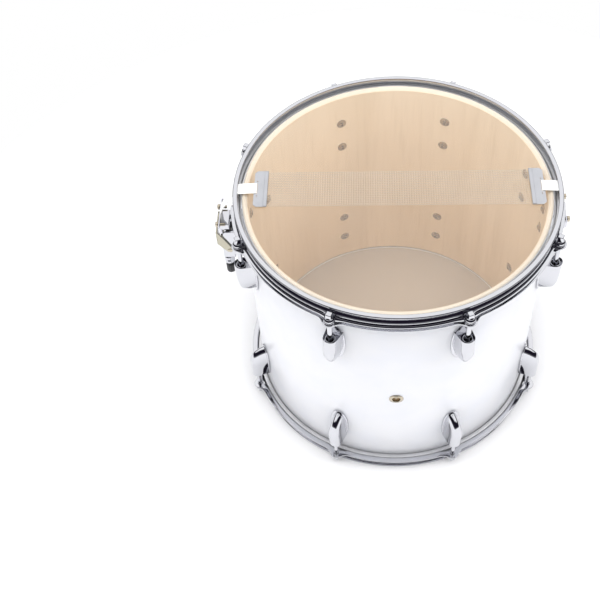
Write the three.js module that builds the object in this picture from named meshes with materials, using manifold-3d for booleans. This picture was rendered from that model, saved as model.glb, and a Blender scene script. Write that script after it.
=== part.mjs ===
// Marching snare drum, fourteen inches by twelve, standing on its batter hoop with the snare side up.
// Millimetres, +Z up. The origin is the centre of the batter head's outer face. The strainer is on
// the -X side, the butt plate on the +X side and the air vent on the -Y side.
// Pieces at an end of the drum are drawn in that end's own frame: its origin is the centre of the
// rim's plane, its Z runs from the rim towards the middle of the shell and its X points outwards.

import * as THREE from "three";
import { mergeVertices } from "three/addons/utils/BufferGeometryUtils.js";
import Module from "manifold-3d";

const wasm = await Module();
wasm.setup();

// Gaps and cuts
const SEAT = 0.3; // gap between pieces that rest on each other
const RUNNING = 0.4; // gap beside a piece that slides or turns
const OVERRUN = 5; // how far a cutting body reaches past what it cuts

// How many flats stand for a circle
const RING_SIDES = 40;
const ROUND_SIDES = 12;
const WASHER_SIDES = 8;
const SMALL_SIDES = 6;
const THIN_SIDES = 4;

// Shell and its covering
const SHELL_HEIGHT = 308;
const SHELL_RADIUS = 177;
const SHELL_WALL = 6;
const CREST_INSET = 2; // from the shell's outside to the crest of the bearing edge
const CREST_ROUND = 1.6; // drop of the edge's outer round
const WRAP_THICKNESS = 0.5;
const WRAP_INSET = 2.2; // the covering stops short of the crest
const VENT_HEIGHT = 141.2; // above the shell's batter edge
const VENT_BORE = 5.2;
const VENT_FLANGE = 8.4;
const VENT_TUBE_WALL = 0.6;
const VENT_RIM = 1.4;

// Heads: a film whose edge is held in a channelled flesh hoop
const FILM = 0.3;
const FILM_FLAT_INSET = 1.5; // the flat film ends this far inside the covering's surface
const COLLAR_DROP = 2;
const COLLAR_REACH = 0.5; // how far the collar clears the covering
const FLESH_PLAY = 0.9; // between covering and flesh hoop
const FLESH_WIDTH = 4.9;
const FLESH_DEPTH = 10.3; // from the rim's plane to the flesh hoop
const FLESH_HEIGHT = 7;
const FLESH_SIDE = 1.4; // thickness of the channel's inner side
const FLESH_SLOT = 1.2;
const FLESH_FLOOR = 0.9;
const FLESH_LOW_SIDE = 2.6; // the channel's inner side stands this much lower

// Triple flanged hoops
const BATTER_STAND = 8.6; // rim above the batter head's playing surface
const SNARE_STAND = 5.4; // the same on the snare side
const HOOP_STEEL = 1.8;
const HOOP_HEIGHT = 19.5;
const HOOP_PLAY = 1; // between flesh hoop and the hoop's lower wall
const SHOULDER_WIDTH = 2.6;
const RIM_WIDTH = 5.5;
const RIM_BEND = 1.2;
const RIM_ROUND = 0.7;
const FLANGE_WIDTH = 5.1;
const EAR_ROOT = 17; // half the ear's width where it leaves the flange
const EAR_TIP = 7.8; // the ear's radius round its rod
const GATE_WIDTH = 21;
const GATE_TOP = 2.3; // from the rim's plane to the snare gate
const NOTCH_WIDTH = 24; // the flange is cut away below a gate

// Tension rods, each with its captive washer
const STATIONS = 8;
const ROD_RADIUS = 2.75;
const ROD_REACH = 51; // from under the collar to the rod's end
const ROD_COLLAR_RADIUS = 5.4;
const ROD_COLLAR = 3;
const ROD_GROOVE = 0.9; // depth of the groove between collar and washer
const ROD_HEAD = 8;
const ROD_HEAD_WIDTH = 6.6;
const ROD_WASHER = 1.7;

// Lugs, measured from the rim's plane
const LUG_CENTRE = 72;
const LUG_LENGTH = 60;
const LUG_WIDTH = 24;
const LUG_BASE = 2.4;
const LUG_MOUTH = 8; // from the base plate's end to the mouth
const LUG_CUP = 7.6; // half the width of the mouth
const LUG_SCREW_SPACING = 40.6;

// The nut seated in each lug's mouth
const NUT_FLANGE_RADIUS = 5.3;
const NUT_FLANGE = 1.6;
const NUT_RECESS = 3; // from the lug's mouth to the nut's seat
const NUT_PLAY = 0.5; // round the nut's flange

// Screws through the shell
const SCREW_RADIUS = 2;
const SCREW_HEAD_RADIUS = 3.6;
const SCREW_HEAD = 3.2; // with its washer
const SCREW_WASHER_RADIUS = 6.3;

// Snare wires
const STRANDS = 20;
const STRAND_PITCH = 2.7;
const STRAND_RADIUS = 0.9;
const END_PLATE_LENGTH = 56;
const END_PLATE_WIDTH = 16;
const END_PLATE = 1;
const PLATE_OVERLAP = 2; // how far the strands reach onto an end plate
const SNARE_ROOM = 9.8; // from an end plate's outer edge to the crest of the bearing edge, on average
const SNARE_SHIFT = 2; // of the wires, towards the butt plate
const STRAND_SINK = 0.5; // how deep the strands lie in the solder
const PLATE_SLOT = 2; // width of the slot that the strap goes through
const PLATE_SLOT_INSET = 3; // from the plate's outer edge to the slot

// Straps
const STRAP_WIDTH = 15.6;
const STRAP = 0.7;

// Strainer and butt plate, distances outwards from the covering and down from the rim's plane
const STRAINER_TOP = 36;
const STRAINER_LENGTH = 76;
const STRAINER_WIDTH = 38;
const BASE_PLATE = 3;
const CHEEK = 2.5;
const CHEEK_TOP = 62;
const CHEEK_LENGTH = 46;
const CHEEK_REACH = 28;
const MOUNT_SCREW_INSET = 8; // from each end of a base plate
const MOUNT_BOSS_RADIUS = 5;
const MOUNT_BOSS = 6;
const CARRIAGE_TOP = 65;
const CARRIAGE_LENGTH = 47;
const CARRIAGE_WIDTH = 24.8;
const CARRIAGE_BACK = 16.2;
const CARRIAGE_DEPTH = 15;
const CARRIAGE_TRAVEL = 6;
const STEM_AXIS = 27.2;
const STEM_RADIUS = 2;
const NECK_RADIUS = 4.5;
const NECK_LENGTH = 7;
const HOUSING_RADIUS = 6.5;
const HOUSING_LENGTH = 14;
const HOUSING_FACE_SHARE = 0.6; // of the housing's radius, where its ends are flat
const KNOB_RADIUS = 5.6;
const KNOB_LENGTH = 13.4;
const KNOB_FOOT = 3.2;
const KNOB_FOOT_RADIUS = 3.6;
const KNOB_BORE = 9;
const KNOB_GROOVES = 14;
const KNOB_GROOVE = 0.5;
const PIVOT_AXIS = 21.2;
const PIVOT_DROP = 27; // from the carriage's top to the lever's pivot
const PIVOT_RADIUS = 1.8;
const LEVER_PLATE = 2;
const LEVER_BLADE = 2.5;
const LEVER_BLADE_LENGTH = 20;
const LEVER_BLADE_GAP = 12; // from the pivot to the blade's near edge
const LEVER_BLADE_OFFSET = 12.4; // from the pivot out to the blade's back
const LEVER_HUB = 6;
const CLAMP_TOP = 43;
const CLAMP_HEIGHT = 11;
const CLAMP_WIDTH = 44;
const CLAMP_FACE = 27.7;
const CLAMP_BACK = 19;
const TANG_HEIGHT = 7;
const STEM_GRIP = 4; // how far the stem enters the tang
const STEM_HOLE = 6.6; // depth of the tang's threaded hole
const CLAMP_PLATE = 1.6;
const CLAMP_PLATE_HEIGHT = 8;
const CLAMP_PLATE_BEND = 4;
const STRAINER_SCREW_SPACING = 28;
const BUTT_TOP = 34;
const BUTT_LENGTH = 48;
const BUTT_WIDTH = 36;
const BUTT_FACE = 14.2;
const BUTT_BAR_HEIGHT = 12;
const BUTT_BAR_WIDTH = 50;
const BUTT_BLOCK_WIDTH = 26;
const BUTT_TAPER = 6;
const BUTT_SCREW_SPACING = 35;
const CLAMP_SCREW_RADIUS = 1.9;
const CLAMP_SCREW_DEPTH = 6;
const CLAMP_SCREW_HEAD = 3.6;
const CLAMP_SCREW_HEAD_WIDTH = 5;

// Sizes that follow from the ones above
const EDGE_Z = FILM + SEAT;
const SHELL_TOP_Z = EDGE_Z + SHELL_HEIGHT;
const SNARE_FACE_Z = SHELL_TOP_Z + SEAT + FILM;
const BATTER_RIM_Z = -BATTER_STAND;
const SNARE_RIM_Z = SNARE_FACE_Z + SNARE_STAND;
const SHELL_INNER = SHELL_RADIUS - SHELL_WALL;
const WRAP_INNER = SHELL_RADIUS + SEAT;
const WRAP_RADIUS = WRAP_INNER + WRAP_THICKNESS;
const FLESH_INNER = WRAP_RADIUS + FLESH_PLAY;
const FLESH_OUTER = FLESH_INNER + FLESH_WIDTH;
const LOWER_WALL = FLESH_OUTER + HOOP_PLAY;
const LOWER_WALL_OUTER = LOWER_WALL + HOOP_STEEL;
const HOOP_INNER = LOWER_WALL - SHOULDER_WIDTH;
const RIM_OUTER = HOOP_INNER + RIM_WIDTH;
const FLANGE_OUTER = LOWER_WALL_OUTER + FLANGE_WIDTH;
const SHOULDER_Z = FLESH_DEPTH - SEAT;
const EAR_Z = HOOP_HEIGHT - HOOP_STEEL;
const ROD_AXIS = LOWER_WALL_OUTER + RUNNING + ROD_COLLAR_RADIUS;
const ROD_COLLAR_Z = EAR_Z - SEAT - ROD_WASHER - SEAT;
const LUG_FRONT = ROD_AXIS + LUG_CUP;
const LUG_TOP_Z = LUG_CENTRE - LUG_LENGTH / 2;
const LUG_TIP_Z = LUG_CENTRE + LUG_LENGTH / 2;
const LUG_MOUTH_Z = LUG_TOP_Z + LUG_MOUTH;
const NUT_SEAT_Z = LUG_MOUTH_Z + NUT_RECESS;
const CREST_RADIUS = SHELL_RADIUS - CREST_INSET;
const STRAND_LENGTH = 2 * (CREST_RADIUS - SNARE_ROOM - END_PLATE_WIDTH + PLATE_OVERLAP);
const PLATE_TOP_Z = SNARE_STAND - SEAT - 2 * STRAND_RADIUS + STRAND_SINK - END_PLATE;
const STRAP_Z = PLATE_TOP_Z - SEAT - STRAP / 2;
const GATE_STRAP_Z = GATE_TOP + RUNNING + STRAP / 2;
const STATION_ANGLES = Array.from({ length: STATIONS }, (_, i) => ((i + 0.5) * 2 * Math.PI) / STATIONS);
const VENT_ANGLE = -Math.PI / 2;

// The shell's surfaces as seen at the middle of a flat
const flatOf = (radius) => radius * Math.cos(Math.PI / RING_SIDES);

// Closed geometry to solid, turned the right way out, and back
function solid(geometry) {
  geometry.deleteAttribute("normal");
  geometry.deleteAttribute("uv");
  const merged = mergeVertices(geometry);
  const p = merged.attributes.position.array;
  const faces = [];
  let volume = 0;
  for (let i = 0; i < merged.index.count; i += 3) {
    const [a, b, c] = [0, 1, 2].map((k) => merged.index.array[i + k]);
    if (a === b || b === c || a === c) continue;
    faces.push(a, b, c);
    const [u, v, w] = [a, b, c].map((k) => new THREE.Vector3().fromArray(p, 3 * k));
    volume += u.dot(v.cross(w));
  }
  if (volume < 0) faces.reverse();
  const mesh = new wasm.Mesh({ numProp: 3, vertProperties: p, triVerts: new Uint32Array(faces) });
  return new wasm.Manifold(mesh);
}

function geometryOf(body) {
  const mesh = body.getMesh();
  const geometry = new THREE.BufferGeometry();
  geometry.setAttribute("position", new THREE.BufferAttribute(mesh.vertProperties, mesh.numProp));
  geometry.setIndex(new THREE.BufferAttribute(mesh.triVerts, 1));
  return geometry;
}

const joined = (bodies) => bodies.reduce((all, body) => all.add(body));
const cutBy = (body, tools) => tools.reduce((rest, tool) => rest.subtract(tool), body);

// A closed outline of [radius, height] points turned about Z
function turned(outline, sides) {
  const points = [...outline, outline[0]].map(([r, z]) => new THREE.Vector2(r, z));
  return solid(new THREE.LatheGeometry(points, sides).rotateX(Math.PI / 2));
}

// A rod along Z, from z0 to z1, on X
function rod(radius, z0, z1, sides, x) {
  const shape = new THREE.CylinderGeometry(radius, radius, z1 - z0, sides);
  return solid(shape.rotateX(Math.PI / 2).translate(x, 0, (z0 + z1) / 2));
}

// A rod along X, from x0, where it may be narrower, to x1
function crossRod(radius, x0, x1, sides, y, z, start = radius) {
  const shape = new THREE.CylinderGeometry(start, radius, x1 - x0, sides);
  return solid(shape.rotateZ(Math.PI / 2).translate((x0 + x1) / 2, y, z));
}

function block(x0, x1, y0, y1, z0, z1) {
  const shape = new THREE.BoxGeometry(x1 - x0, y1 - y0, z1 - z0);
  return solid(shape.translate((x0 + x1) / 2, (y0 + y1) / 2, (z0 + z1) / 2));
}

// An outline of [x, z] points given a width along Y, centred on y
function slab(outline, width, y = 0) {
  const shape = new THREE.Shape(outline.map(([x, z]) => new THREE.Vector2(x, z)));
  const geometry = new THREE.ExtrudeGeometry(shape, { depth: width, bevelEnabled: false });
  return solid(geometry.rotateX(Math.PI / 2).translate(0, y + width / 2, 0));
}

// An outline of [x, y] points raised from z0 to z1
function raised(outline, z0, z1) {
  const shape = new THREE.Shape(outline.map(([x, y]) => new THREE.Vector2(x, y)));
  const geometry = new THREE.ExtrudeGeometry(shape, { depth: z1 - z0, bevelEnabled: false });
  return solid(geometry.translate(0, 0, z0));
}

const turnedBy = (body, angle) => body.rotate([0, 0, THREE.MathUtils.radToDeg(angle)]);

// Everything inside the covering, with a seat's gap, for cutting the backs of what is screwed to it
function drumBody(z0, z1) {
  const r = WRAP_RADIUS + SEAT;
  return turned([[0, z0], [r, z0], [r, z1], [0, z1]], RING_SIDES);
}

// The drops from the rim's plane at which screws hold each casting
const LUG_DROPS = [LUG_CENTRE - LUG_SCREW_SPACING / 2, LUG_CENTRE + LUG_SCREW_SPACING / 2];
const STRAINER_DROPS = [STRAINER_TOP + MOUNT_SCREW_INSET, STRAINER_TOP + STRAINER_LENGTH - MOUNT_SCREW_INSET];
const BUTT_DROPS = [BUTT_TOP + MOUNT_SCREW_INSET, BUTT_TOP + BUTT_LENGTH - MOUNT_SCREW_INSET];

// The wall with its holes for the screws and the vent
function drilled(wall) {
  const [inner, outer] = [SHELL_INNER - OVERRUN, WRAP_RADIUS + OVERRUN];
  const through = (radius, sides, angle, z) => turnedBy(crossRod(radius, inner, outer, sides, 0, z), angle);
  const hole = (angle, z) => through(SCREW_RADIUS + RUNNING, THIN_SIDES, angle, z);
  const vent = VENT_BORE + VENT_TUBE_WALL + SEAT;
  return cutBy(wall, [
    through(vent, ROUND_SIDES, VENT_ANGLE, EDGE_Z + VENT_HEIGHT),
    ...STATION_ANGLES.flatMap((angle) =>
      LUG_DROPS.flatMap((drop) => [hole(angle, BATTER_RIM_Z + drop), hole(angle, SNARE_RIM_Z - drop)])),
    ...STRAINER_DROPS.map((drop) => hole(Math.PI, SNARE_RIM_Z - drop)),
    ...BUTT_DROPS.map((drop) => hole(0, SNARE_RIM_Z - drop)),
  ]);
}

// Screws through the wall into a casting on X; each head spreads to the width of its washer
function throughScrews(drops, tip) {
  const seat = flatOf(SHELL_INNER) - SEAT;
  return joined(drops.flatMap((drop) => [
    crossRod(SCREW_RADIUS, seat - SCREW_HEAD / 2, tip, THIN_SIDES, 0, drop),
    crossRod(SCREW_WASHER_RADIUS, seat - SCREW_HEAD, seat, SMALL_SIDES, 0, drop, SCREW_HEAD_RADIUS),
  ]));
}

// Shell: a ply tube whose edges slope inwards from a crest near the outside
function shell() {
  const chamfer = CREST_RADIUS - SHELL_INNER;
  const tube = turned([
    [SHELL_INNER, EDGE_Z + chamfer], [CREST_RADIUS, EDGE_Z], [SHELL_RADIUS, EDGE_Z + CREST_ROUND],
    [SHELL_RADIUS, SHELL_TOP_Z - CREST_ROUND], [CREST_RADIUS, SHELL_TOP_Z],
    [SHELL_INNER, SHELL_TOP_Z - chamfer],
  ], RING_SIDES);
  return drilled(tube);
}

function shellWrap() {
  const [low, high] = [EDGE_Z + WRAP_INSET, SHELL_TOP_Z - WRAP_INSET];
  return drilled(turned([[WRAP_INNER, low], [WRAP_RADIUS, low], [WRAP_RADIUS, high], [WRAP_INNER, high]],
    RING_SIDES));
}

// Vent: an eyelet pressed through the wall, turned over inside and out
function ventGrommet() {
  const inner = flatOf(SHELL_INNER) - SEAT;
  const outer = WRAP_RADIUS + SEAT;
  const tube = VENT_BORE + VENT_TUBE_WALL;
  const back = inner - VENT_RIM / 2;
  const eyelet = turned([
    [VENT_BORE, back], [VENT_FLANGE, back], [VENT_FLANGE, inner], [tube, inner], [tube, outer],
    [VENT_FLANGE, outer], [(VENT_FLANGE + tube) / 2, outer + VENT_RIM], [VENT_BORE, outer + VENT_RIM / 2],
  ], ROUND_SIDES);
  return turnedBy(eyelet.rotate([0, 90, 0]).translate([0, 0, EDGE_Z + VENT_HEIGHT]), VENT_ANGLE);
}

// Head: a flat film with a collar that goes down into the flesh hoop's channel. End frame.
function headFilm(stand) {
  const flat = WRAP_RADIUS - FILM_FLAT_INSET;
  const collar = WRAP_RADIUS + COLLAR_REACH + FILM;
  const [slotInner, slotOuter] = channel();
  const skirt = (slotInner + slotOuter + FILM) / 2;
  const bend = FLESH_DEPTH + FLESH_LOW_SIDE - SEAT - FILM;
  const edge = FLESH_DEPTH + FLESH_HEIGHT - FLESH_FLOOR - SEAT;
  const outline = [
    [0, stand], [flat, stand], [collar, stand + COLLAR_DROP], [skirt, bend], [skirt, edge],
    [skirt - FILM, edge], [skirt - FILM, bend + FILM], [collar - FILM, stand + COLLAR_DROP + FILM],
    [flat - FILM, stand + FILM], [0, stand + FILM],
  ];
  return turned(outline, RING_SIDES);
}

// The channel's sides, as radii
function channel() {
  return [FLESH_INNER + FLESH_SIDE, FLESH_INNER + FLESH_SIDE + FLESH_SLOT];
}

// Flesh hoop: a channel open towards the playing surface, its inner side the lower one. End frame.
function fleshHoop() {
  const [slotInner, slotOuter] = channel();
  const end = FLESH_DEPTH + FLESH_HEIGHT;
  const low = FLESH_DEPTH + FLESH_LOW_SIDE;
  return turned([
    [FLESH_INNER, end], [FLESH_OUTER, end], [FLESH_OUTER, FLESH_DEPTH], [slotOuter, FLESH_DEPTH],
    [slotOuter, end - FLESH_FLOOR], [slotInner, end - FLESH_FLOOR], [slotInner, low], [FLESH_INNER, low],
  ], RING_SIDES);
}

// Hoop: rim, upper wall, shoulder that presses on the flesh hoop, lower wall, and a flange with an
// ear at each rod. The snare side's has a gate for each strap. End frame.
function hoop(gated) {
  const upper = HOOP_INNER + HOOP_STEEL;
  const shoulder = SHOULDER_Z - HOOP_STEEL;
  const ring = turned([
    [HOOP_INNER, RIM_BEND], [HOOP_INNER + RIM_BEND, 0], [RIM_OUTER - RIM_ROUND, 0], [RIM_OUTER, RIM_ROUND],
    [RIM_OUTER, HOOP_STEEL], [upper, HOOP_STEEL], [upper, shoulder], [LOWER_WALL_OUTER, shoulder + RIM_ROUND],
    [LOWER_WALL_OUTER, EAR_Z], [FLANGE_OUTER, EAR_Z], [FLANGE_OUTER, HOOP_HEIGHT], [LOWER_WALL, HOOP_HEIGHT],
    [LOWER_WALL, SHOULDER_Z], [HOOP_INNER, SHOULDER_Z],
  ], RING_SIDES);
  const eared = joined([ring, ...STATION_ANGLES.map((angle) => turnedBy(ear(), angle))]);
  const holes = STATION_ANGLES.map((angle) => turnedBy(
    rod(ROD_RADIUS + 2 * SEAT, EAR_Z - OVERRUN, HOOP_HEIGHT + OVERRUN, WASHER_SIDES, ROD_AXIS), angle));
  const sides = gated ? [0, Math.PI] : [];
  const gates = sides.flatMap((angle) => gateCuts(shoulder).map((cut) => turnedBy(cut, angle)));
  return cutBy(eared, [...holes, ...gates]);
}

function ear() {
  const root = LOWER_WALL + HOOP_STEEL / 2;
  const tipAngles = [-75, -45, -15, 15, 45, 75].map(THREE.MathUtils.degToRad);
  const tip = tipAngles.map((a) => [ROD_AXIS + EAR_TIP * Math.cos(a), EAR_TIP * Math.sin(a)]);
  return raised([[root, -EAR_ROOT], ...tip, [root, EAR_ROOT]], EAR_Z, HOOP_HEIGHT);
}

// A window in the upper wall and a notch in the flange below it
function gateCuts(shoulder) {
  const [gate, notch] = [GATE_WIDTH / 2, NOTCH_WIDTH / 2];
  return [
    block(HOOP_INNER - OVERRUN, LOWER_WALL, -gate, gate, GATE_TOP, shoulder),
    block(LOWER_WALL_OUTER, FLANGE_OUTER + OVERRUN, -notch, notch, EAR_Z - OVERRUN, HOOP_HEIGHT + OVERRUN),
  ];
}

// Tension rod: square head, collar and washer above the ear, shank through it into the lug. End frame.
function tensionRod() {
  const [collar, neck] = [ROD_COLLAR_RADIUS, ROD_COLLAR_RADIUS - ROD_GROOVE];
  const half = ROD_HEAD_WIDTH / 2;
  const top = ROD_COLLAR_Z - ROD_COLLAR;
  const washer = ROD_COLLAR_Z + SEAT;
  const seat = washer + ROD_WASHER;
  const end = ROD_COLLAR_Z + ROD_REACH;
  return turned([
    [0, top], [collar, top], [collar, ROD_COLLAR_Z], [neck, ROD_COLLAR_Z], [neck, washer],
    [collar, washer], [collar, seat], [ROD_RADIUS, seat], [ROD_RADIUS, end], [0, end],
  ], SMALL_SIDES).add(block(-half, half, -half, half, top - ROD_HEAD, top + ROD_COLLAR / 2));
}

// Lug casting. Shares along its length from the base plate's end, and of its depth and width at the
// front and the back, from the low hump above the mouth to the blunt tip.
const LUG_SHARES = [
  { along: 0.05, depth: 0.18, front: 0.16, back: 0.26 },
  { along: 0.1333, depth: 1, front: 0.34, back: 0.38 },
  { along: 0.53, depth: 0.96, front: 0.3, back: 0.43 },
  { along: 0.73, depth: 0.81, front: 0.24, back: 0.38 },
  { along: 0.87, depth: 0.55, front: 0.17, back: 0.28 },
  { along: 0.985, depth: 0.17, front: 0.08, back: 0.14 },
];
const LUG_BEVEL_SHARE = 0.86; // where the sides turn towards the flat front
const LUG_FLAT_SHARE = 0.8; // of the front's width that is flat

function lugSections() {
  const seat = WRAP_RADIUS - SEAT; // inside the drum's surface, which is cut away later
  const depth = LUG_FRONT - seat;
  return LUG_SHARES.map((s) => {
    const [front, back] = [s.front * LUG_WIDTH, s.back * LUG_WIDTH];
    const [bevel, face] = [seat + depth * s.depth * LUG_BEVEL_SHARE, seat + depth * s.depth];
    const flat = front * LUG_FLAT_SHARE;
    const z = LUG_TOP_Z + s.along * LUG_LENGTH;
    return [
      [seat - LUG_BASE, -back, z], [bevel, -front, z], [face, -flat, z],
      [face, flat, z], [bevel, front, z], [seat - LUG_BASE, back, z],
    ];
  });
}

// Rings of points joined one to the next, with both ends closed
function lofted(rings) {
  const count = rings[0].length;
  const faces = [];
  for (let k = 0; k + 1 < rings.length; k++)
    for (let i = 0; i < count; i++) {
      const [a, b] = [k * count + i, k * count + ((i + 1) % count)];
      faces.push(a, b, a + count, b, b + count, a + count);
    }
  const last = (rings.length - 1) * count;
  for (let i = 1; i + 1 < count; i++) faces.push(0, i + 1, i, last, last + i, last + i + 1);
  const geometry = new THREE.BufferGeometry();
  geometry.setAttribute("position", new THREE.Float32BufferAttribute(rings.flat(2), 3));
  geometry.setIndex(faces);
  return solid(geometry);
}

// Lug: an oval base, the casting, the nut in its mouth and the two screws that hold it
function lug() {
  const plate = new THREE.CylinderGeometry(LUG_LENGTH / 2, LUG_LENGTH / 2, 2 * LUG_BASE, WASHER_SIDES);
  plate.scale(LUG_WIDTH / LUG_LENGTH, 1, 1).rotateZ(Math.PI / 2).translate(WRAP_RADIUS, 0, LUG_CENTRE);
  const wall = turnedBy(drumBody(LUG_TOP_Z - OVERRUN, LUG_TIP_Z + OVERRUN), -STATION_ANGLES[0]);
  const mouth = rod(NUT_FLANGE_RADIUS + NUT_PLAY, LUG_MOUTH_Z - OVERRUN, NUT_SEAT_Z, WASHER_SIDES, ROD_AXIS);
  const nut = rod(NUT_FLANGE_RADIUS, NUT_SEAT_Z - NUT_FLANGE, NUT_SEAT_Z + NUT_PLAY, WASHER_SIDES, ROD_AXIS);
  const bore = rod(ROD_RADIUS + RUNNING, LUG_MOUTH_Z - OVERRUN, LUG_TIP_Z + OVERRUN, WASHER_SIDES, ROD_AXIS);
  const casting = cutBy(lofted(lugSections()).add(solid(plate)), [wall, mouth]);
  return casting.add(nut).subtract(bore).add(throughScrews(LUG_DROPS, WRAP_RADIUS + LUG_BASE));
}

// Snare wires: straight strands soldered under two slotted end plates. Snare end frame.
function snareWires() {
  const z = SNARE_STAND - SEAT - STRAND_RADIUS;
  const strands = Array.from({ length: STRANDS }, (_, i) => crossRod(STRAND_RADIUS, -STRAND_LENGTH / 2,
    STRAND_LENGTH / 2, THIN_SIDES, (i - (STRANDS - 1) / 2) * STRAND_PITCH, z));
  const inner = STRAND_LENGTH / 2 - PLATE_OVERLAP;
  const half = END_PLATE_LENGTH / 2;
  const plates = [-1, 1].map((side) => {
    const [x0, x1] = [side * inner, side * (inner + END_PLATE_WIDTH)].sort((a, b) => a - b);
    const slot = side * (inner + END_PLATE_WIDTH - PLATE_SLOT_INSET);
    const cut = block(slot - PLATE_SLOT / 2, slot + PLATE_SLOT / 2, -STRAP_WIDTH / 2 - SEAT,
      STRAP_WIDTH / 2 + SEAT, PLATE_TOP_Z - OVERRUN, SNARE_STAND);
    return block(x0, x1, -half, half, PLATE_TOP_Z, PLATE_TOP_Z + END_PLATE).subtract(cut);
  });
  return joined([...strands, ...plates]).translate([SNARE_SHIFT, 0, 0]);
}

// A ribbon of even thickness along [x, z] points
function ribbon(path) {
  const points = path.map(([x, z]) => new THREE.Vector2(x, z));
  const normals = points.map((p, i) => {
    const before = points[Math.max(i - 1, 0)];
    const after = points[Math.min(i + 1, points.length - 1)];
    const [into, out] = [p.clone().sub(before).normalize(), after.clone().sub(p).normalize()];
    const mean = into.clone().add(out).normalize();
    const stretch = i > 0 && i + 1 < points.length ? mean.dot(out) : 1;
    return new THREE.Vector2(-mean.y, mean.x).multiplyScalar(STRAP / 2 / stretch);
  });
  const near = points.map((p, i) => p.clone().add(normals[i]));
  const far = points.map((p, i) => p.clone().sub(normals[i])).reverse();
  return slab([...near, ...far].map((p) => [p.x, p.y]), STRAP_WIDTH);
}

// Strap: from the end plate's slot through the gate under the rim and down into the clamp. End frame.
function strap(shift, face, clampZ, clampHeight) {
  const edge = STRAND_LENGTH / 2 - PLATE_OVERLAP + END_PLATE_WIDTH + shift;
  const outside = LOWER_WALL_OUTER + STRAP + RUNNING;
  const x = face + SEAT + STRAP / 2;
  return ribbon([
    [edge - PLATE_SLOT_INSET, STRAP_Z], [edge + STRAP, STRAP_Z], [HOOP_INNER, GATE_STRAP_Z],
    [LOWER_WALL_OUTER, GATE_STRAP_Z + STRAP],
    [outside + STRAP, SHOULDER_Z], [x, clampZ], [x, clampZ + clampHeight - SEAT],
  ]);
}

// Clamp screw: square head outside the clamp plate, shank into the bar behind it
function clampScrew(plateFace, y, z) {
  const half = CLAMP_SCREW_HEAD_WIDTH / 2;
  const seat = plateFace + SEAT;
  const tip = plateFace - CLAMP_PLATE - 2 * SEAT - STRAP - CLAMP_SCREW_DEPTH;
  return crossRod(CLAMP_SCREW_RADIUS, tip, seat + CLAMP_SCREW_HEAD / 2, SMALL_SIDES, y, z)
    .add(block(seat, seat + CLAMP_SCREW_HEAD, y - half, y + half, z - half, z + half));
}

// Holes for those screws, through plate and bar
function clampHoles(spacing, z, x0, x1) {
  return [-1, 1].map((side) =>
    crossRod(CLAMP_SCREW_RADIUS + SEAT, x0, x1, SMALL_SIDES, (side * spacing) / 2, z));
}

// Clamp plate: a strip whose ends bend back past the bar
function clampPlate(face, width, spacing, z) {
  const [half, back] = [width / 2, face - CLAMP_PLATE];
  const bent = half + CLAMP_PLATE + RUNNING;
  const plate = raised([
    [back, -half], [back, half], [back - CLAMP_PLATE_BEND, bent],
    [back - CLAMP_PLATE_BEND, bent + CLAMP_PLATE], [face, half + CLAMP_PLATE],
    [face, -half - CLAMP_PLATE], [back - CLAMP_PLATE_BEND, -bent - CLAMP_PLATE],
    [back - CLAMP_PLATE_BEND, -bent],
  ], z - CLAMP_PLATE_HEIGHT / 2, z + CLAMP_PLATE_HEIGHT / 2);
  return cutBy(plate, clampHoles(spacing, z, back - OVERRUN, face + OVERRUN));
}

// A base plate with bosses for its screws, its back not yet cut to the drum. X outwards, end frame.
function basePlate(width, top, length, drops) {
  const face = WRAP_RADIUS + BASE_PLATE;
  const plate = block(WRAP_RADIUS - OVERRUN, face, -width / 2, width / 2, top, top + length);
  return joined([plate, ...drops.map((drop) =>
    crossRod(MOUNT_BOSS_RADIUS, WRAP_RADIUS, face + MOUNT_BOSS, ROUND_SIDES, 0, drop))]);
}

// Strainer pieces, X outwards from the drum's axis, end frame
const at = (offset) => WRAP_RADIUS + offset;
const PIVOT_Z = CARRIAGE_TOP + PIVOT_DROP;
const CHEEK_INNER = CARRIAGE_WIDTH / 2 + RUNNING;
const ARM_INNER = CHEEK_INNER + CHEEK + RUNNING;
const CARRIAGE_END = CARRIAGE_TOP + CARRIAGE_LENGTH;
const HOUSING_Z = CARRIAGE_END + NECK_LENGTH;
const KNOB_FOOT_Z = HOUSING_Z + HOUSING_LENGTH + RUNNING;
const KNOB_Z = KNOB_FOOT_Z + KNOB_FOOT;
const CLAMP_END = CLAMP_TOP + CLAMP_HEIGHT;
const CLAMP_Z = CLAMP_TOP + CLAMP_HEIGHT / 2;
const STRAINER_PLATE_FACE = at(CLAMP_FACE) + 2 * SEAT + STRAP + CLAMP_PLATE;
const BUTT_Z = BUTT_TOP + BUTT_BAR_HEIGHT / 2;
const BUTT_PLATE_FACE = at(BUTT_FACE) + 2 * SEAT + STRAP + CLAMP_PLATE;

function strainerBase() {
  const face = at(BASE_PLATE);
  const [root, front] = [face - BASE_PLATE / 2, at(CHEEK_REACH)];
  const cheeks = [-1, 1].map((side) => slab([
    [root, CHEEK_TOP], [front - CHEEK, CHEEK_TOP], [front, CHEEK_TOP + CHEEK],
    [front, PIVOT_Z + LEVER_HUB], [root, CHEEK_TOP + CHEEK_LENGTH],
  ], CHEEK, side * (CHEEK_INNER + CHEEK / 2)));
  const body = joined([basePlate(STRAINER_WIDTH, STRAINER_TOP, STRAINER_LENGTH, STRAINER_DROPS), ...cheeks]);
  return cutBy(body, [
    drumBody(STRAINER_TOP - OVERRUN, STRAINER_TOP + STRAINER_LENGTH + OVERRUN),
    acrossRod(PIVOT_RADIUS + SEAT, CHEEK_INNER + CHEEK + OVERRUN),
  ]).add(throughScrews(STRAINER_DROPS, face));
}

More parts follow.
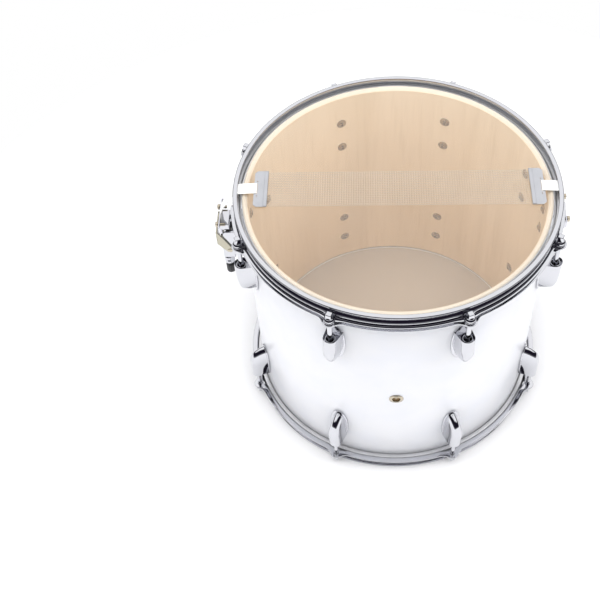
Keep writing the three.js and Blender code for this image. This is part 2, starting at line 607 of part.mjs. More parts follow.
// A rod along Y through the lever's pivot
function acrossRod(radius, half) {
  const shape = new THREE.CylinderGeometry(radius, radius, 2 * half, ROUND_SIDES);
  return solid(shape.translate(at(PIVOT_AXIS), 0, PIVOT_Z));
}

const pivotPin = () => acrossRod(PIVOT_RADIUS, ARM_INNER + LEVER_PLATE);

// Throw-off lever: a blade held by two arms that turn on the pin
function strainerLever() {
  const [px, pz] = [at(PIVOT_AXIS), PIVOT_Z];
  const blade = px + LEVER_BLADE_OFFSET;
  const [low, high] = [pz - LEVER_BLADE_GAP - LEVER_BLADE_LENGTH, pz - LEVER_BLADE_GAP];
  const hub = LEVER_HUB / 2;
  const arms = [-1, 1].map((side) => slab([
    [px - hub, pz - hub], [blade, low], [blade + LEVER_BLADE, low], [blade + LEVER_BLADE, high],
    [px + hub, pz + hub], [px - hub, pz + hub],
  ], LEVER_PLATE, side * (ARM_INNER + LEVER_PLATE / 2)));
  const half = ARM_INNER + LEVER_PLATE;
  const body = joined([...arms, block(blade, blade + LEVER_BLADE, -half, half, low, high)]);
  return body.subtract(acrossRod(PIVOT_RADIUS + SEAT, half + OVERRUN));
}

// Carriage: slides between the cheeks and ends in a neck and a round housing for the knob's stem
function strainerCarriage() {
  const [back, front] = [at(CARRIAGE_BACK), at(CARRIAGE_BACK + CARRIAGE_DEPTH)];
  const half = CARRIAGE_WIDTH / 2;
  const x = at(STEM_AXIS);
  const face = HOUSING_RADIUS * HOUSING_FACE_SHARE;
  const round = HOUSING_RADIUS - face;
  const end = HOUSING_Z + HOUSING_LENGTH;
  const housing = turned([
    [0, HOUSING_Z], [face, HOUSING_Z], [HOUSING_RADIUS, HOUSING_Z + round],
    [HOUSING_RADIUS, end - round], [face, end], [0, end],
  ], ROUND_SIDES).translate([x, 0, 0]);
  const slide = PIVOT_RADIUS + SEAT;
  return cutBy(joined([
    block(back, front, -half, half, CARRIAGE_TOP, CARRIAGE_END),
    rod(NECK_RADIUS, CARRIAGE_END - SEAT, HOUSING_Z + SEAT, ROUND_SIDES, x),
    housing,
  ]), [
    rod(STEM_RADIUS + SEAT, CARRIAGE_TOP - OVERRUN, KNOB_FOOT_Z + OVERRUN, ROUND_SIDES, x),
    block(at(PIVOT_AXIS) - slide, at(PIVOT_AXIS) + slide, -half - OVERRUN, half + OVERRUN,
      PIVOT_Z - slide, PIVOT_Z + CARRIAGE_TRAVEL + slide),
  ]);
}

// Clamp block: a bar for the strap, with a tang that the stem screws into
function clampBlock() {
  const [back, front] = [at(CLAMP_BACK), at(CLAMP_FACE)];
  const half = CARRIAGE_WIDTH / 2;
  const tangEnd = CLAMP_END + TANG_HEIGHT;
  const body = joined([
    block(back, front, -CLAMP_WIDTH / 2, CLAMP_WIDTH / 2, CLAMP_TOP, CLAMP_END),
    block(back, at(CARRIAGE_BACK + CARRIAGE_DEPTH), -half, half, CLAMP_END, tangEnd),
  ]);
  return cutBy(body, [
    rod(STEM_RADIUS + SEAT, tangEnd - STEM_HOLE, tangEnd + OVERRUN, ROUND_SIDES, at(STEM_AXIS)),
    ...clampHoles(STRAINER_SCREW_SPACING, CLAMP_Z, front - CLAMP_SCREW_DEPTH - SEAT, front + OVERRUN),
  ]);
}

// Tension knob: a fluted grip on a plain foot, bored for its screw
function tensionKnob() {
  const x = at(STEM_AXIS);
  const flutes = Array.from({ length: 2 * KNOB_GROOVES }, (_, i) => {
    const [a, r] = [(i * Math.PI) / KNOB_GROOVES, i % 2 ? KNOB_RADIUS : KNOB_RADIUS - KNOB_GROOVE];
    return [x + r * Math.cos(a), r * Math.sin(a)];
  });
  return raised(flutes, KNOB_Z, KNOB_Z + KNOB_LENGTH)
    .add(rod(KNOB_FOOT_RADIUS, KNOB_FOOT_Z, KNOB_Z + KNOB_FOOT, ROUND_SIDES, x))
    .subtract(rod(STEM_RADIUS + SEAT, KNOB_FOOT_Z - OVERRUN, KNOB_FOOT_Z + KNOB_BORE, ROUND_SIDES, x));
}

// Tension screw: from the knob through the carriage into the clamp block's tang
function tensionScrew() {
  const end = CLAMP_END + TANG_HEIGHT - STEM_GRIP;
  return rod(STEM_RADIUS, end, KNOB_FOOT_Z + KNOB_BORE - SEAT, ROUND_SIDES, at(STEM_AXIS));
}

// Butt plate: a screwed base with a raised block and a bar that the strap is clamped against
function buttBody() {
  const [face, front] = [at(BASE_PLATE), at(BUTT_FACE)];
  const [root, end] = [face - BASE_PLATE / 2, BUTT_TOP + BUTT_LENGTH];
  const raisedBlock = slab([
    [root, BUTT_TOP], [front, BUTT_TOP], [front, end - 2 * BUTT_TAPER],
    [face + BASE_PLATE, end - BUTT_TAPER / 2], [root, end - BUTT_TAPER / 2],
  ], BUTT_BLOCK_WIDTH);
  const bar = block(front - CLAMP_SCREW_DEPTH - BASE_PLATE, front, -BUTT_BAR_WIDTH / 2,
    BUTT_BAR_WIDTH / 2, BUTT_TOP, BUTT_TOP + BUTT_BAR_HEIGHT);
  const body = joined([basePlate(BUTT_WIDTH, BUTT_TOP, BUTT_LENGTH, BUTT_DROPS), raisedBlock, bar]);
  return cutBy(body, [
    drumBody(BUTT_TOP - OVERRUN, end + OVERRUN),
    ...clampHoles(BUTT_SCREW_SPACING, BUTT_Z, front - CLAMP_SCREW_DEPTH - SEAT, front + OVERRUN),
  ]).add(throughScrews(BUTT_DROPS, face));
}

// Finishes
const finish = (color, roughness, metalness) =>
  new THREE.MeshStandardMaterial({ color, roughness, metalness });
const chrome = finish(0xd9dade, 0.08, 1);
const nickel = finish(0xa9a493, 0.28, 1);
const aluminium = finish(0xc4c6c9, 0.35, 1);
const steelWire = finish(0xb9b7b0, 0.3, 1);
const maple = finish(0xe6cfa8, 0.6, 0);
const whiteGloss = finish(0xf4f5fa, 0.08, 0);
const coatedFilm = finish(0xe9e4d8, 0.7, 0);
const clearFilm = finish(0xf2efe6, 0.1, 0);
const whiteStrap = finish(0xf6f5ee, 0.5, 0);
const blackKnob = finish(0x141416, 0.45, 0);
const zincPlate = finish(0xc3c2cf, 0.35, 1);

// The assembled drum
const drum = new THREE.Group();
const batterEnd = new THREE.Group();
const snareEnd = new THREE.Group();
const strainer = new THREE.Group();
batterEnd.position.z = BATTER_RIM_Z;
snareEnd.position.z = SNARE_RIM_Z;
snareEnd.rotation.x = Math.PI;
strainer.rotation.z = Math.PI;
snareEnd.add(strainer);
drum.add(batterEnd, snareEnd);

function place(parent, name, geometry, material, angle = 0, x = 0) {
  const mesh = new THREE.Mesh(geometry, material);
  mesh.name = name;
  mesh.rotation.z = angle;
  mesh.position.set(x * Math.cos(angle), x * Math.sin(angle), 0);
  parent.add(mesh);
}

place(drum, "shell", geometryOf(shell()), maple);
place(drum, "shell_wrap", geometryOf(shellWrap()), whiteGloss);
place(drum, "vent_grommet", geometryOf(ventGrommet()), nickel);

const flesh = geometryOf(fleshHoop());
const casting = geometryOf(lug());
const tension = geometryOf(tensionRod());

for (const [end, side, stand, filmFinish] of [[batterEnd, "batter", BATTER_STAND, coatedFilm],
  [snareEnd, "snare", SNARE_STAND, clearFilm]]) {
  place(end, `${side}_hoop`, geometryOf(hoop(side === "snare")), chrome);
  place(end, `${side}_head_film`, geometryOf(headFilm(stand)), filmFinish);
  place(end, `${side}_flesh_hoop`, flesh, aluminium);
  STATION_ANGLES.forEach((angle, i) => {
    place(end, `lug_${side}_${i + 1}`, casting, chrome, angle);
    place(end, `tension_rod_${side}_${i + 1}`, tension, chrome, angle, ROD_AXIS);
  });
}

place(snareEnd, "snare_wires", geometryOf(snareWires()), steelWire);
place(snareEnd, "butt_strap",
  geometryOf(strap(SNARE_SHIFT, at(BUTT_FACE), BUTT_TOP, BUTT_BAR_HEIGHT)), whiteStrap);
place(snareEnd, "butt_plate", geometryOf(buttBody()), chrome);
place(snareEnd, "butt_clamp_plate",
  geometryOf(clampPlate(BUTT_PLATE_FACE, BUTT_BAR_WIDTH, BUTT_SCREW_SPACING, BUTT_Z)), zincPlate);

place(strainer, "strainer_strap",
  geometryOf(strap(-SNARE_SHIFT, at(CLAMP_FACE), CLAMP_TOP, CLAMP_HEIGHT)), whiteStrap);
place(strainer, "strainer_base", geometryOf(strainerBase()), chrome);
place(strainer, "lever_pivot_pin", geometryOf(pivotPin()), nickel);
place(strainer, "strainer_lever", geometryOf(strainerLever()), chrome);
place(strainer, "strainer_carriage", geometryOf(strainerCarriage()), chrome);
place(strainer, "strainer_clamp_block", geometryOf(clampBlock()), chrome);
place(strainer, "strainer_clamp_plate",
  geometryOf(clampPlate(STRAINER_PLATE_FACE, CLAMP_WIDTH, STRAINER_SCREW_SPACING, CLAMP_Z)), zincPlate);
place(strainer, "tension_knob", geometryOf(tensionKnob()), blackKnob);
place(strainer, "tension_screw", geometryOf(tensionScrew()), nickel);

for (const [i, side] of [-1, 1].entries()) {
  const butt = clampScrew(BUTT_PLATE_FACE, (side * BUTT_SCREW_SPACING) / 2, BUTT_Z);
  const clamp = clampScrew(STRAINER_PLATE_FACE, (side * STRAINER_SCREW_SPACING) / 2, CLAMP_Z);
  place(snareEnd, `butt_clamp_screw_${i + 1}`, geometryOf(butt), nickel);
  place(strainer, `strainer_clamp_screw_${i + 1}`, geometryOf(clamp), nickel);
}

export default drum;
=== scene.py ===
"""A marching snare drum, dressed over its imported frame.

Pieces are modelled in millimetres with bmesh operators and written out in metres, where the frame
stands. Parts at one end of the drum are drawn in that end's own frame, whose origin is the centre of
the rim's plane, whose Z runs towards the middle of the shell and whose X points outwards.
"""

import logging
import math
from dataclasses import dataclass
from enum import Enum
from typing import Callable, Iterable, Sequence, Union

import bmesh
import bpy
from mathutils import Matrix, Vector


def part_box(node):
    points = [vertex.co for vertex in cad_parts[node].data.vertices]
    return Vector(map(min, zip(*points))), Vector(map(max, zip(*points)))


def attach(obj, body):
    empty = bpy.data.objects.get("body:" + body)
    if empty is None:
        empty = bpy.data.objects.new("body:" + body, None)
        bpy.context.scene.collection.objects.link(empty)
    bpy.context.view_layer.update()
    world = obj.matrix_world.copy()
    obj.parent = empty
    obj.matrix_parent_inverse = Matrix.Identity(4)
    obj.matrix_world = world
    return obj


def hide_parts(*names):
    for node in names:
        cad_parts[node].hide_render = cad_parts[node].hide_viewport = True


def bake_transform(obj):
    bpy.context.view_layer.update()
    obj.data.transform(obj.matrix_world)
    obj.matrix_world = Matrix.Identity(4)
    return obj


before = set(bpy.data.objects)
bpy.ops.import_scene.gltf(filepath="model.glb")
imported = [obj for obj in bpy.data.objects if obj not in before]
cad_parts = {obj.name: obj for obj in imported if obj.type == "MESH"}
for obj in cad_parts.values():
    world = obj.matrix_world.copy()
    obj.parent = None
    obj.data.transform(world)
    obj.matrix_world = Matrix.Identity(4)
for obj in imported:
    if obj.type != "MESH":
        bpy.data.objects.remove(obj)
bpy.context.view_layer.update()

MM = 0.001

# Segments of a full turn, by its width, and of a rounded corner
RING_STEPS = 288
ROUND_STEPS = 48
SMALL_STEPS = 24
ARC_STEPS = 5

# Distances within which doubles merge: as a rule, and where a spin meets itself
WELD = 1e-4
SPIN_WELD = 0.01

# Turns a shape drawn in X and Y so that it faces along X
FACING = Matrix(((0, 0, 1, 0), (1, 0, 0, 0), (0, 1, 0, 0), (0, 0, 0, 1)))

Colour = tuple[float, float, float]
Point = tuple[float, float, float]
Corner = tuple[float, float, float]
Outline = list[tuple[float, float]]

log = logging.getLogger("drum")


# Shader graphs

class Value:
    """A number on a node's output that takes part in shader maths written as Python."""

    def __init__(self, graph: "Graph", socket: bpy.types.NodeSocket) -> None:
        """Wraps an output socket.

        Args:
            graph: The graph that the socket belongs to.
            socket: The output socket.
        """
        self.graph = graph
        self.socket = socket

    def maths(self, operation: str, first: "Number", second: "Number") -> "Value":
        """Adds a Math node.

        Args:
            operation: The node's operation.
            first: Its first value.
            second: Its second value.

        Returns:
            The node's result.
        """
        return self.graph.value("ShaderNodeMath", {"operation": operation}, {0: first, 1: second})

    def __add__(self, other: "Number") -> "Value":
        """Adds."""
        return self.maths("ADD", self, other)

    def __radd__(self, other: "Number") -> "Value":
        """Adds, from the right."""
        return self.maths("ADD", other, self)

    def __sub__(self, other: "Number") -> "Value":
        """Subtracts."""
        return self.maths("SUBTRACT", self, other)

    def __rsub__(self, other: "Number") -> "Value":
        """Subtracts this from a number."""
        return self.maths("SUBTRACT", other, self)

    def __mul__(self, other: "Number") -> "Value":
        """Multiplies."""
        return self.maths("MULTIPLY", self, other)

    def __rmul__(self, other: "Number") -> "Value":
        """Multiplies, from the right."""
        return self.maths("MULTIPLY", other, self)

    def __truediv__(self, other: "Number") -> "Value":
        """Divides."""
        return self.maths("DIVIDE", self, other)

    def __pow__(self, other: "Number") -> "Value":
        """Raises to a power."""
        return self.maths("POWER", self, other)

    def __gt__(self, other: "Number") -> "Value":
        """Gives 1 where this is the greater."""
        return self.maths("GREATER_THAN", self, other)

    def __mod__(self, other: "Number") -> "Value":
        """Gives the remainder, never below zero."""
        return self.maths("FLOORED_MODULO", self, other)

    def most(self, other: "Number") -> "Value":
        """Gives the larger of the two."""
        return self.maths("MAXIMUM", self, other)

    def sine(self) -> "Value":
        """Gives the sine."""
        return self.maths("SINE", self, 0.0)

    def size(self) -> "Value":
        """Gives the value without its sign."""
        return self.maths("ABSOLUTE", self, 0.0)

    def ramp(self, low: float, high: float) -> "Value":
        """Rises smoothly from 0 to 1 between two values.

        Args:
            low: Where the rise starts.
            high: Where it ends.

        Returns:
            The risen value.
        """
        settings = {"interpolation_type": "SMOOTHSTEP"}
        return self.graph.value("ShaderNodeMapRange", settings, {0: self, 1: low, 2: high})


Number = Union[Value, float]


class Graph:
    """A node tree that is built by method calls."""

    def __init__(self, tree: bpy.types.NodeTree) -> None:
        """Empties a node tree and keeps it.

        Args:
            tree: The tree of a material or a world.
        """
        self.tree = tree
        self.tree.nodes.clear()

    def node(self, kind: str, settings: dict | None = None, inputs: dict | None = None) -> bpy.types.Node:
        """Adds a node.

        Args:
            kind: The node's type.
            settings: Its options; stops are the stops of a colour ramp.
            inputs: Values, colours or sockets for its inputs, by name or index.

        Returns:
            The node.
        """
        made = self.tree.nodes.new(kind)
        for name, setting in (settings or {}).items():
            if name == "stops":
                self.set_stops(made.color_ramp, setting)
            else:
                setattr(made, name, setting)
        for key, given in (inputs or {}).items():
            if isinstance(given, Value):
                self.tree.links.new(given.socket, made.inputs[key])
            elif isinstance(given, bpy.types.NodeSocket):
                self.tree.links.new(given, made.inputs[key])
            elif isinstance(given, tuple) and made.inputs[key].type == "RGBA":
                made.inputs[key].default_value = (*given, 1.0)
            else:
                made.inputs[key].default_value = given
        return made

    @staticmethod
    def set_stops(ramp: bpy.types.ColorRamp, stops: Sequence[tuple[float, Colour]]) -> None:
        """Gives a colour ramp its stops.

        Args:
            ramp: The ramp, which has two stops when new.
            stops: Place and colour of each stop.
        """
        while len(ramp.elements) < len(stops):
            ramp.elements.new(0.5)
        for element, (place, colour) in zip(ramp.elements, stops):
            element.position = place
            element.color = (*colour, 1.0)

    def value(self, kind: str, settings: dict | None = None, inputs: dict | None = None,
              output: Union[int, str] = 0) -> Value:
        """Adds a node and wraps one of its outputs.

        Args:
            kind: The node's type.
            settings: Its options.
            inputs: Its inputs.
            output: The output's name or index.

        Returns:
            The wrapped output.
        """
        return Value(self, self.node(kind, settings, inputs).outputs[output])

    def place(self, stretch: Point = (1.0, 1.0, 1.0), turn: Point = (0.0, 0.0, 0.0)) -> bpy.types.NodeSocket:
        """Gives the Object coordinates, stretched and turned.

        Args:
            stretch: Scale along each axis.
            turn: Rotation about each axis.

        Returns:
            The vector's socket.
        """
        where = self.node("ShaderNodeTexCoord").outputs["Object"]
        settings = {"vector_type": "POINT"}
        inputs = {"Vector": where, "Scale": stretch, "Rotation": turn}
        return self.node("ShaderNodeMapping", settings, inputs).outputs[0]

    def axes(self, where: bpy.types.NodeSocket | None = None) -> tuple[Value, Value, Value]:
        """Splits a point into its coordinates.

        Args:
            where: The point, or None for Object coordinates.

        Returns:
            The three coordinates.
        """
        split = self.node("ShaderNodeSeparateXYZ", None, {0: where or self.place()})
        return Value(self, split.outputs[0]), Value(self, split.outputs[1]), Value(self, split.outputs[2])

    def noise(self, scale: float, detail: float = 2.0, where: bpy.types.NodeSocket | None = None,
              distortion: float = 0.0) -> Value:
        """Adds smooth noise.

        Args:
            scale: Features per metre.
            detail: Octaves of finer noise.
            where: The point to read it at, or None for Object coordinates.
            distortion: How far the noise is warped.

        Returns:
            The noise, about 0 to 1.
        """
        inputs = {"Vector": where or self.place(), "Scale": scale, "Detail": detail, "Distortion": distortion}
        return self.value("ShaderNodeTexNoise", None, inputs)

    def mix(self, share: Number, first: Union[Colour, bpy.types.NodeSocket],
            second: Union[Colour, bpy.types.NodeSocket]) -> bpy.types.NodeSocket:
        """Mixes two colours.

        Args:
            share: How much of the second colour.
            first: The first colour.
            second: The second colour.

        Returns:
            The mixed colour's socket.
        """
        return self.node("ShaderNodeMix", {"data_type": "RGBA"}, {0: share, 6: first, 7: second}).outputs[2]

    def bump(self, height: Value, depth: float, strength: float = 1.0) -> bpy.types.NodeSocket:
        """Turns a height into a normal.

        Args:
            height: The height, 0 to 1.
            depth: What a height of 1 is, in metres.
            strength: Share of the bump that is kept.

        Returns:
            The normal's socket.
        """
        inputs = {"Height": height, "Distance": depth, "Strength": strength}
        return self.node("ShaderNodeBump", None, inputs).outputs[0]

    def surface(self, inputs: dict) -> None:
        """Ends the graph with a Principled shader.

        Args:
            inputs: Values or sockets by the shader's socket names.
        """
        shader = self.node("ShaderNodeBsdfPrincipled", None, inputs)
        self.node("ShaderNodeOutputMaterial", None, {"Surface": shader.outputs[0]})


# Finishes

@dataclass(frozen=True)
class Finish:
    """What every finish has: a name, a colour and a roughness."""

    name: str
    colour: Colour
    roughness: float

    def paint(self, graph: Graph) -> None:
        """Builds the finish's shader.

        Args:
            graph: The empty graph to build in.
        """
        graph.surface({"Base Color": self.colour, "Roughness": self.roughness})

    def tinted(self, shades: Colour) -> Colour:
        """Gives the finish's colour with each channel times its shade."""
        return tuple(channel * shade for channel, shade in zip(self.colour, shades))

    def material(self) -> bpy.types.Material:
        """Gives the finish's material, which is made once.

        Returns:
            The material.
        """
        known = bpy.data.materials.get(self.name)
        if known is not None:
            return known
        made = bpy.data.materials.new(self.name)
        made.use_nodes = True
        self.paint(Graph(made.node_tree))
        return made


@dataclass(frozen=True)
class PlatedMetal(Finish):
    """Polished plating with faint smears and the slight waviness of pressed or cast metal."""

    smear: float = 0.03
    ripple_scale: float = 90.0
    ripple_depth: float = 0.00001
    tarnish: Colour = (0.5, 0.5, 0.52)
    tarnish_share: float = 0.08

    def paint(self, graph: Graph) -> None:
        """Builds the plating.

        Args:
            graph: The empty graph to build in.
        """
        patches = graph.noise(38.0, 3.0)
        smears = graph.noise(260.0, 4.0, distortion=0.6)
        graph.surface({
            "Base Color": graph.mix(patches * self.tarnish_share, self.colour, self.tarnish),
            "Metallic": 1.0,
            "Roughness": smears * self.smear + (self.roughness - self.smear / 2),
            "Normal": graph.bump(graph.noise(self.ripple_scale, 1.0), self.ripple_depth),
        })


@dataclass(frozen=True)
class BrushedMetal(Finish):
    """Bare metal with fine lines along one axis."""

    stretch: Point = (1.0, 1.0, 0.05)
    line_scale: float = 2400.0
    line_depth: float = 0.00001
    metallic: float = 1.0
    dulled: Colour = (0.8, 0.8, 0.8)

    def paint(self, graph: Graph) -> None:
        """Builds the brushed metal.

        Args:
            graph: The empty graph to build in.
        """
        lines = graph.noise(self.line_scale, 2.0, graph.place(self.stretch))
        patches = graph.noise(60.0, 3.0)
        dull = self.tinted(self.dulled)
        graph.surface({
            "Base Color": graph.mix(patches.ramp(0.35, 0.75) * 0.4, self.colour, dull),
            "Metallic": self.metallic,
            "Roughness": self.roughness + (lines - 0.5) * 0.16,
            "Normal": graph.bump(lines, self.line_depth, 0.6),
        })


@dataclass(frozen=True)
class Veneer(Finish):
    """Clear-coated maple: grain along the shell, pores, and the plies where the edge is cut through."""

    dark: Colour = (0.74, 0.57, 0.36)
    ply: float = 0.00087
    glue: Colour = (0.6, 0.4, 0.26)
    inner_radius: float = 0.171
    sanded: Colour = (0.82, 0.74, 0.61)

    def paint(self, graph: Graph) -> None:
        """Builds the veneer.

        Args:
            graph: The empty graph to build in.
        """
        along = graph.place((1.0, 1.0, 0.07))
        figure = graph.noise(16.0, 3.0, along, 1.2)
        grain = graph.noise(230.0, 4.0, along, 0.4)
        pores = graph.noise(1300.0, 2.0, along)
        cloud = graph.noise(7.0, 2.0)
        tone = figure.ramp(0.35, 0.75) * 0.3 + grain.ramp(0.45, 0.8) * 0.25 + cloud.ramp(0.4, 0.8) * 0.16
        wood = graph.mix(tone, self.colour, self.dark)
        wood = graph.mix(pores.ramp(0.66, 0.8) * 0.3, wood, self.dark)
        x, y, _ = graph.axes()
        depth = (x * x + y * y) ** 0.5 - self.inner_radius
        cut = depth.ramp(0.0004, 0.0009)
        line = ((depth / self.ply % 1.0) - 0.5).size().ramp(0.4, 0.47)
        graph.surface({
            "Base Color": graph.mix(line * cut * 0.5, graph.mix(cut * 0.8, wood, self.sanded), self.glue),
            "Roughness": self.roughness + grain * 0.12,
            "Coat Weight": 0.25,
            "Coat Roughness": 0.3,
            "Normal": graph.bump(grain + pores * 0.6, 0.00006, 0.5),
        })


@dataclass(frozen=True)
class GlossCovering(Finish):
    """Glossy white sheet glued round the shell: a slight orange peel and hairline scuffs."""

    scuff: float = 0.1
    cool: Colour = (0.965, 0.975, 1.0)

    def paint(self, graph: Graph) -> None:
        """Builds the covering.

        Args:
            graph: The empty graph to build in.
        """
        peel = graph.noise(420.0, 1.0)
        waves = graph.noise(14.0, 1.0)
        scuffs = graph.noise(900.0, 3.0, graph.place((1.0, 1.0, 0.2))).ramp(0.68, 0.86)
        haze = graph.noise(30.0, 3.0)
        graph.surface({
            "Base Color": graph.mix(haze.ramp(0.3, 0.8), self.colour, self.tinted(self.cool)),
            "Roughness": self.roughness + scuffs * self.scuff + haze * 0.04,
            "Coat Weight": 0.15,
            "Coat Roughness": 0.16,
            "Normal": graph.bump(waves * 4.0 + peel * 0.12, 0.00004, 0.5),
        })


@dataclass(frozen=True)
class CoatedFilm(Finish):
    """Coated drumhead: a matt white grain outside, and on its bare face within the drum a painted shade,
    darker and warmer, for the shade at the bottom of the shell and the warm light off the maple.
    """

    # Painted shade: the inner face's colour is darker and warmer than the coat, for the shade deep in the
    # shell and the warm light off the maple walls
    inside: Colour = (0.5, 0.42, 0.33)
    warm: Colour = (0.985, 0.975, 0.95)
    face: float = 0.00015
    bore: float = 0.1712
    grain_scale: float = 1500.0

    def paint(self, graph: Graph) -> None:
        """Builds the coating.

        Args:
            graph: The empty graph to build in.
        """
        grain = graph.noise(self.grain_scale, 2.0)
        cloud = graph.noise(22.0, 3.0)
        coat = graph.mix(cloud.ramp(0.35, 0.75), self.colour, self.tinted(self.warm))
        x, y, z = graph.axes()
        # The face within the drum takes the painted shade colour
        within = (z > self.face) * (1.0 - ((x * x + y * y) ** 0.5 > self.bore))
        graph.surface({
            "Base Color": graph.mix(within, coat, self.inside),
            "Roughness": self.roughness + (grain - 0.5) * 0.3,
            "Normal": graph.bump(grain, 0.00003, 0.7),
        })


@dataclass(frozen=True)
class ClearFilm(Finish):
    """Clear drumhead film: nearly unseen face on, and glossier at a glancing angle."""

    haze: float = 0.05
    glance: float = 0.3

    def paint(self, graph: Graph) -> None:
        """Builds the film.

        Args:
            graph: The empty graph to build in.
        """
        facing = graph.value("ShaderNodeLayerWeight", None, {"Blend": 0.35}, "Facing")
        streaks = graph.noise(24.0, 3.0, graph.place((1.0, 0.3, 1.0)))
        graph.surface({
            "Base Color": self.colour,
            "Roughness": self.roughness + streaks * 0.04,
            "Alpha": self.haze + facing ** 3.0 * self.glance + streaks * 0.02,
            "Normal": graph.bump(graph.noise(9.0, 1.0), 0.0002, 0.5),
        })


@dataclass(frozen=True)
class MouldedPlastic(Finish):
    """Moulded plastic with a fine pebble grain and handling shine in scattered patches."""

    grain_scale: float = 1800.0
    grain_depth: float = 0.00005
    wear: Colour = (0.1, 0.1, 0.1)

    def paint(self, graph: Graph) -> None:
        """Builds the plastic.

        Args:
            graph: The empty graph to build in.
        """
        grain = graph.noise(self.grain_scale, 2.0)
        patches = graph.noise(140.0, 3.0).ramp(0.5, 0.8)
        graph.surface({
            "Base Color": graph.mix(patches * 0.5, self.colour, self.wear),
            "Roughness": self.roughness - patches * 0.12 + grain * 0.08,
            "Normal": graph.bump(grain, self.grain_depth, 0.6),
        })


@dataclass(frozen=True)
class WovenStrap(Finish):
    """White strap of fine flat weave."""

    thread: float = 0.0006
    soiled: Colour = (0.72, 0.7, 0.64)

    def paint(self, graph: Graph) -> None:
        """Builds the weave.

        Args:
            graph: The empty graph to build in.
        """
        x, y, z = graph.axes()
        turns = 2 * math.pi / self.thread
        weave = (y * turns).sine() * ((z + x) * turns).sine() * 0.5 + 0.5
        soil = graph.noise(120.0, 3.0).ramp(0.5, 0.9)
        graph.surface({
            "Base Color": graph.mix(soil * 0.3 + weave * 0.08, self.colour, self.soiled),
            "Roughness": self.roughness + weave * 0.1,
            "Normal": graph.bump(weave, 0.00006, 0.5),
        })


@dataclass(frozen=True)
class Finishes:
    """Every finish on the drum."""

    chrome: Finish = PlatedMetal("polished_chrome", (0.62, 0.625, 0.655), 0.05)
    nickel: Finish = PlatedMetal("dull_nickel", (0.58, 0.52, 0.42), 0.24, smear=0.14, ripple_depth=0.00002,
                                 tarnish=(0.36, 0.31, 0.22), tarnish_share=0.5)
    lever_plating: Finish = PlatedMetal("worn_lever_plating", (0.5, 0.48, 0.4), 0.16, smear=0.12,
                                        tarnish=(0.42, 0.38, 0.27), tarnish_share=0.6)
    zinc: Finish = PlatedMetal("bright_zinc", (0.7, 0.7, 0.74), 0.22, smear=0.12, tarnish=(0.5, 0.5, 0.56),
                               tarnish_share=0.4)
    pressed_steel: Finish = BrushedMetal("pressed_end_plate", (0.56, 0.57, 0.6), 0.34,
                                         stretch=(0.05, 1.0, 1.0))
    wire: Finish = BrushedMetal("wound_wire", (0.95, 0.92, 0.87), 0.22, metallic=0.45)
    aluminium: Finish = BrushedMetal("rolled_aluminium", (0.74, 0.74, 0.75), 0.36, stretch=(0.2, 0.2, 1.0),
                                     metallic=0.75)
    maple: Finish = Veneer("maple_plies", (0.95, 0.78, 0.56), 0.42)
    covering: Finish = GlossCovering("white_covering_sheet", (0.865, 0.87, 0.895), 0.3)
    coated_film: Finish = CoatedFilm("white_coated_film", (0.82, 0.8, 0.76), 0.62)
    clear_film: Finish = ClearFilm("clear_film", (0.95, 0.95, 0.95), 0.06)
    strap: Finish = WovenStrap("white_strap", (0.9, 0.89, 0.84), 0.5)
    knob: Finish = MouldedPlastic("black_knob_plastic", (0.02, 0.02, 0.022), 0.42)


FINISHES = Finishes()


# Modelling

def rounded(corners: Sequence[Corner], closed: bool = True, steps: int = ARC_STEPS) -> Outline:
    """Turns the corners of an outline into arcs.

    Args:
        corners: The two coordinates and the radius of each corner.
        closed: True if the outline returns to its start.
        steps: Segments of each arc.

    Returns:
        The outline's points.
    """
    points: Outline = []
    for i, (x, y, radius) in enumerate(corners):
        at_end = not closed and i in (0, len(corners) - 1)
        if radius <= 0 or at_end:
            points.append((x, y))
            continue
        here = Vector((x, y))
        back = (Vector(corners[i - 1][:2]) - here).normalized()
        on = (Vector(corners[(i + 1) % len(corners)][:2]) - here).normalized()
        half = back.angle(on) / 2
        centre = here + (back + on).normalized() * radius / math.sin(half)
        arms = [here + side * radius / math.tan(half) - centre for side in (back, on)]
        start, end = (math.atan2(arm.y, arm.x) for arm in arms)
        sweep = (end - start + math.pi) % (2 * math.pi) - math.pi
        for k in range(steps + 1):
            angle = start + sweep * k / steps
            points.append((centre.x + radius * math.cos(angle), centre.y + radius * math.sin(angle)))
    return points


def thickened(path: Outline, thickness: float) -> Outline:
    """Gives an open path an even thickness.

    Args:
        path: The middle line.
        thickness: The whole thickness.

    Returns:
        The closed outline round it.
    """
    sides: tuple[Outline, Outline] = ([], [])
    for i, point in enumerate(path):
        here = Vector(point)
        into = here - Vector(path[i - 1]) if i else Vector(path[1]) - here
        out = Vector(path[i + 1]) - here if i + 1 < len(path) else into
        mean = (into.normalized() + out.normalized()).normalized()
        reach = thickness / 2 / max(mean.dot(out.normalized()), 0.3)
        normal = Vector((-mean.y, mean.x)) * reach
        sides[0].append(tuple(here + normal))
        sides[1].append(tuple(here - normal))
    return sides[0] + sides[1][::-1]


def flat_box(half: float, low: float, high: float, radius: float) -> Outline:
    """Draws an upright rectangle with round corners about the second axis.

    Args:
        half: Half its width.
        low: Where it starts along the second axis.
        high: Where it ends.
        radius: Radius of its corners.

    Returns:
        The outline.
    """
    return rounded([(-half, low, radius), (half, low, radius), (half, high, radius), (-half, high, radius)])


